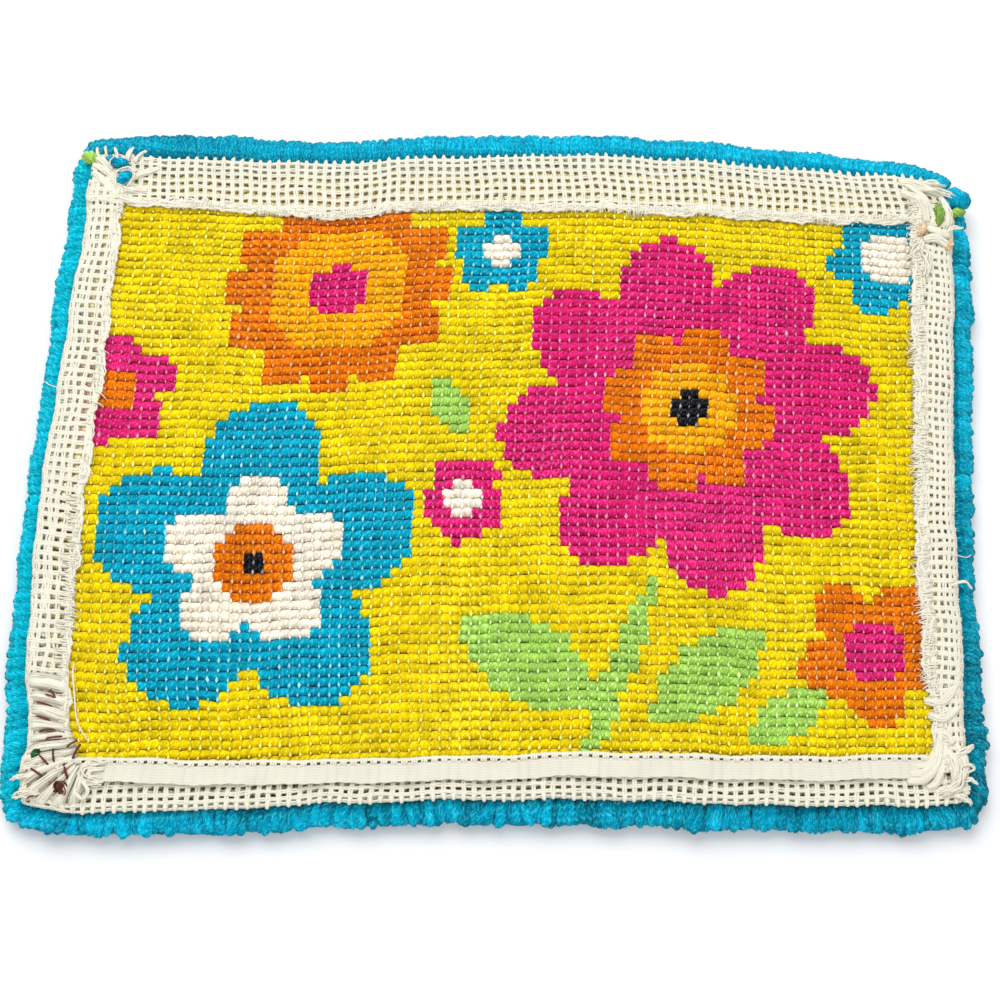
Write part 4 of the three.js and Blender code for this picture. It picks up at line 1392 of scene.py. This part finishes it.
def tickPart(rows, columns, rng):
    # Where two knots of a row meet, the pinched yarn shows as a small pale drop that leans on the row
    # beyond: a ring of four round its belly, with a tip at its near and at its far end.
    n = len(rows)
    wide, thick = ticks["half"], ticks["thick"]
    (nearV, nearH), (bellyV, bellyH), (farV, farH) = ticks["near"], ticks["belly"], ticks["far"]
    points = np.array([[0, bellyV, bellyH + thick], [wide, bellyV, bellyH], [0, bellyV, bellyH - thick],
                       [-wide, bellyV, bellyH], [0, nearV, nearH], [0, farV, farH]]) * mm
    points = points[None] + ticks["stray"] * mm * rng.standard_normal((n, 6, 3))
    size = np.clip(1 + 0.18 * rng.standard_normal((n, 1)), 0.4, 1.5)
    u = ((columns + 1) * pitch)[:, None] + points[..., 0] * size + 0.2 * mm * rng.standard_normal((n, 1))
    v = rowLine(rows)[:, None] + points[..., 1] * size
    places = clothMap(u, v, cloth["knotLow"] + points[..., 2] + 0.25 * mm * rng.standard_normal((n, 1)))
    tint = dyeTable[knotDye[rows, columns]]
    pale = ticks["pale"] * (1 - tint.mean(1, keepdims=True))
    pale = pale * np.clip(1 + 0.35 * rng.standard_normal((n, 1)), 0.15, 1.7)
    # painted light on the drop, with the pale mixed in
    tint = tint * ticks["valleyLight"] + pale * linear(ticks["paleDye"])
    tint = np.minimum(tint / np.maximum(tint.max(1, keepdims=True), 1) ** 0.5, 1)
    return bodyPart(places[:, None, :4], places[:, 4:], np.zeros((n, 1)), np.linspace(0, 6 * mm, 5)[None],
                    tint[:, None])


rng = np.random.default_rng(ticks["seed"])
pick = ~hiddenKnot & (columnOf < cloth["across"] - 1)
makePiece("knotTicks", tickPart(rowOf[pick], columnOf[pick], rng), "knot_backs")


tufts = {
    "half": 2.9 * mm,
    "levels": [2.2 * mm, 6 * mm],  # of its two rings of corners
    "high": 17.0 * mm,
    "lean": 1.6 * mm,
    "seed": 41,
}


def tuftPart(rows, columns, rng):
    # The cut pile under the canvas: each knot's two ends as one four-sided tuft, with a point up at the
    # canvas, spread and leaning near the surface, and closed by a low point there.
    n = len(rows)
    spread = np.array([0.85, 1.0])[None, :, None] * tufts["half"]
    lean = tufts["lean"] * rng.standard_normal((n, 1, 1, 2)) * np.array([1, 0.7])[None, :, None, None]
    quarter = np.radians([45, 135, 225, 315]) + 0.3 * rng.standard_normal((n, 1, 1))
    u = (columns[:, None, None] + 0.5) * pitch + spread * np.cos(quarter) + lean[..., 0]
    v = rowLine(rows[:, None, None] + 0.5) + spread * np.sin(quarter) + lean[..., 1]
    rings = clothMap(u, v, np.array(tufts["levels"])[None, :, None] + 0 * u)
    tip = clothMap(u[:, 0].mean(1), v[:, 0].mean(1), rng.uniform(0, 1.2, n) * mm)
    top = clothMap((columns + 0.5) * pitch, rowLine(rows + 0.5), tufts["high"])
    tint = dyeTable[knotDye[rows, columns]] * (1 + 0.07 * rng.standard_normal((n, 1)))
    along, around = np.array([[0, 4]]) * mm, np.linspace(0, 16, 5)[None] * mm
    return bodyPart(rings, np.stack([tip, top], 1), along, around, tint[:, None])


rng = np.random.default_rng(tufts["seed"])
inner = fromEdges(columnOf, rowOf, cloth["across"] - 1, cloth["along"] - 1) > 0
makePiece("cutPile", tuftPart(rowOf[inner], columnOf[inner], rng), "pile_field")


view = {
    "lens": 68.4,
    "sensor": 36,
    "azimuth": -4.68,
    "elevation": 71.54,
    "roll": 5.88,
    "distance": 1.322,
    "target": (-0.0064, -0.0281, 0.022),
}


def placeCamera():
    # back = (sin az cos el, -cos az cos el, sin el), right = (cos az, sin az, 0), up = back x right, and
    # right and up turned about back by the roll.
    az, el, roll = (math.radians(view[name]) for name in ("azimuth", "elevation", "roll"))
    back = Vector((math.sin(az) * math.cos(el), -math.cos(az) * math.cos(el), math.sin(el)))
    right = Vector((math.cos(az), math.sin(az), 0))
    up = back.cross(right)
    rolledRight = math.cos(roll) * right + math.sin(roll) * up
    rolledUp = math.cos(roll) * up - math.sin(roll) * right
    lens = bpy.data.cameras.new("camera")
    lens.lens = view["lens"]
    lens.sensor_width = view["sensor"]
    camera = addObject("camera", lens)
    matrix = Matrix((rolledRight, rolledUp, back)).transposed().to_4x4()
    matrix.translation = Vector(view["target"]) + view["distance"] * back
    camera.matrix_world = matrix
    bpy.context.scene.camera = camera


def floorPaint():
    # A matt painted floor: pale, even, with the faintest drift of tone.
    material, tree, places = newMaterial("matt pale floor paint")
    pales = {place: (*linear(code), 1) for place, code in ((6, "#e9e9ea"), (7, "#efeff0"))}
    drift = noise(tree, places["Object"], {"Scale": 3.0, "Detail": 2.0})
    tone = addNode(tree, "ShaderNodeMix", {"data_type": "RGBA", **pales}, {"Factor": drift})
    finishMaterial(tree, {"Roughness": 0.9, "Specular IOR Level": 0.1}, {"Base Color": tone.outputs[2]})
    return material


def makeFloor(half):
    # A square floor, half its width to each side.
    mesh = bpy.data.meshes.new("floor")
    verts = [(-half, -half, 0), (half, -half, 0), (half, half, 0), (-half, half, 0)]
    mesh.from_pydata(verts, [], [(0, 1, 2, 3)])
    mesh.materials.append(floorPaint())
    floor = addObject("floor", mesh)


studio = {
    "floorHalf": 4.0,
    "sky": 0.66,
    "lamps": [
        {"name": "keyLamp", "place": (-0.6, 1.25, 2.05), "size": 2.4, "power": 51},
        {"name": "fillLamp", "place": (0.9, -1.5, 1.9), "size": 2.0, "power": 15},
    ],
}


def makeLights():
    # Two round soft lamps turned to the middle of the surface, and an even white sky.
    for lamp in studio["lamps"]:
        light = bpy.data.lights.new(lamp["name"], "AREA")
        light.shape = "DISK"
        light.size = lamp["size"]
        light.energy = lamp["power"]
        place = Vector(lamp["place"])
        turned = place.to_track_quat("Z", "Y").to_matrix().to_4x4()
        addObject(lamp["name"], light).matrix_world = Matrix.Translation(place) @ turned
    world = bpy.data.worlds.new("studio")
    world.use_nodes = True
    background = world.node_tree.nodes["Background"]
    background.inputs["Color"].default_value = (1, 1, 1, 1)
    background.inputs["Strength"].default_value = studio["sky"]
    bpy.context.scene.world = world
    bpy.context.scene.view_settings.view_transform = "Standard"


placeCamera()
makeFloor(studio["floorHalf"])
makeLights()
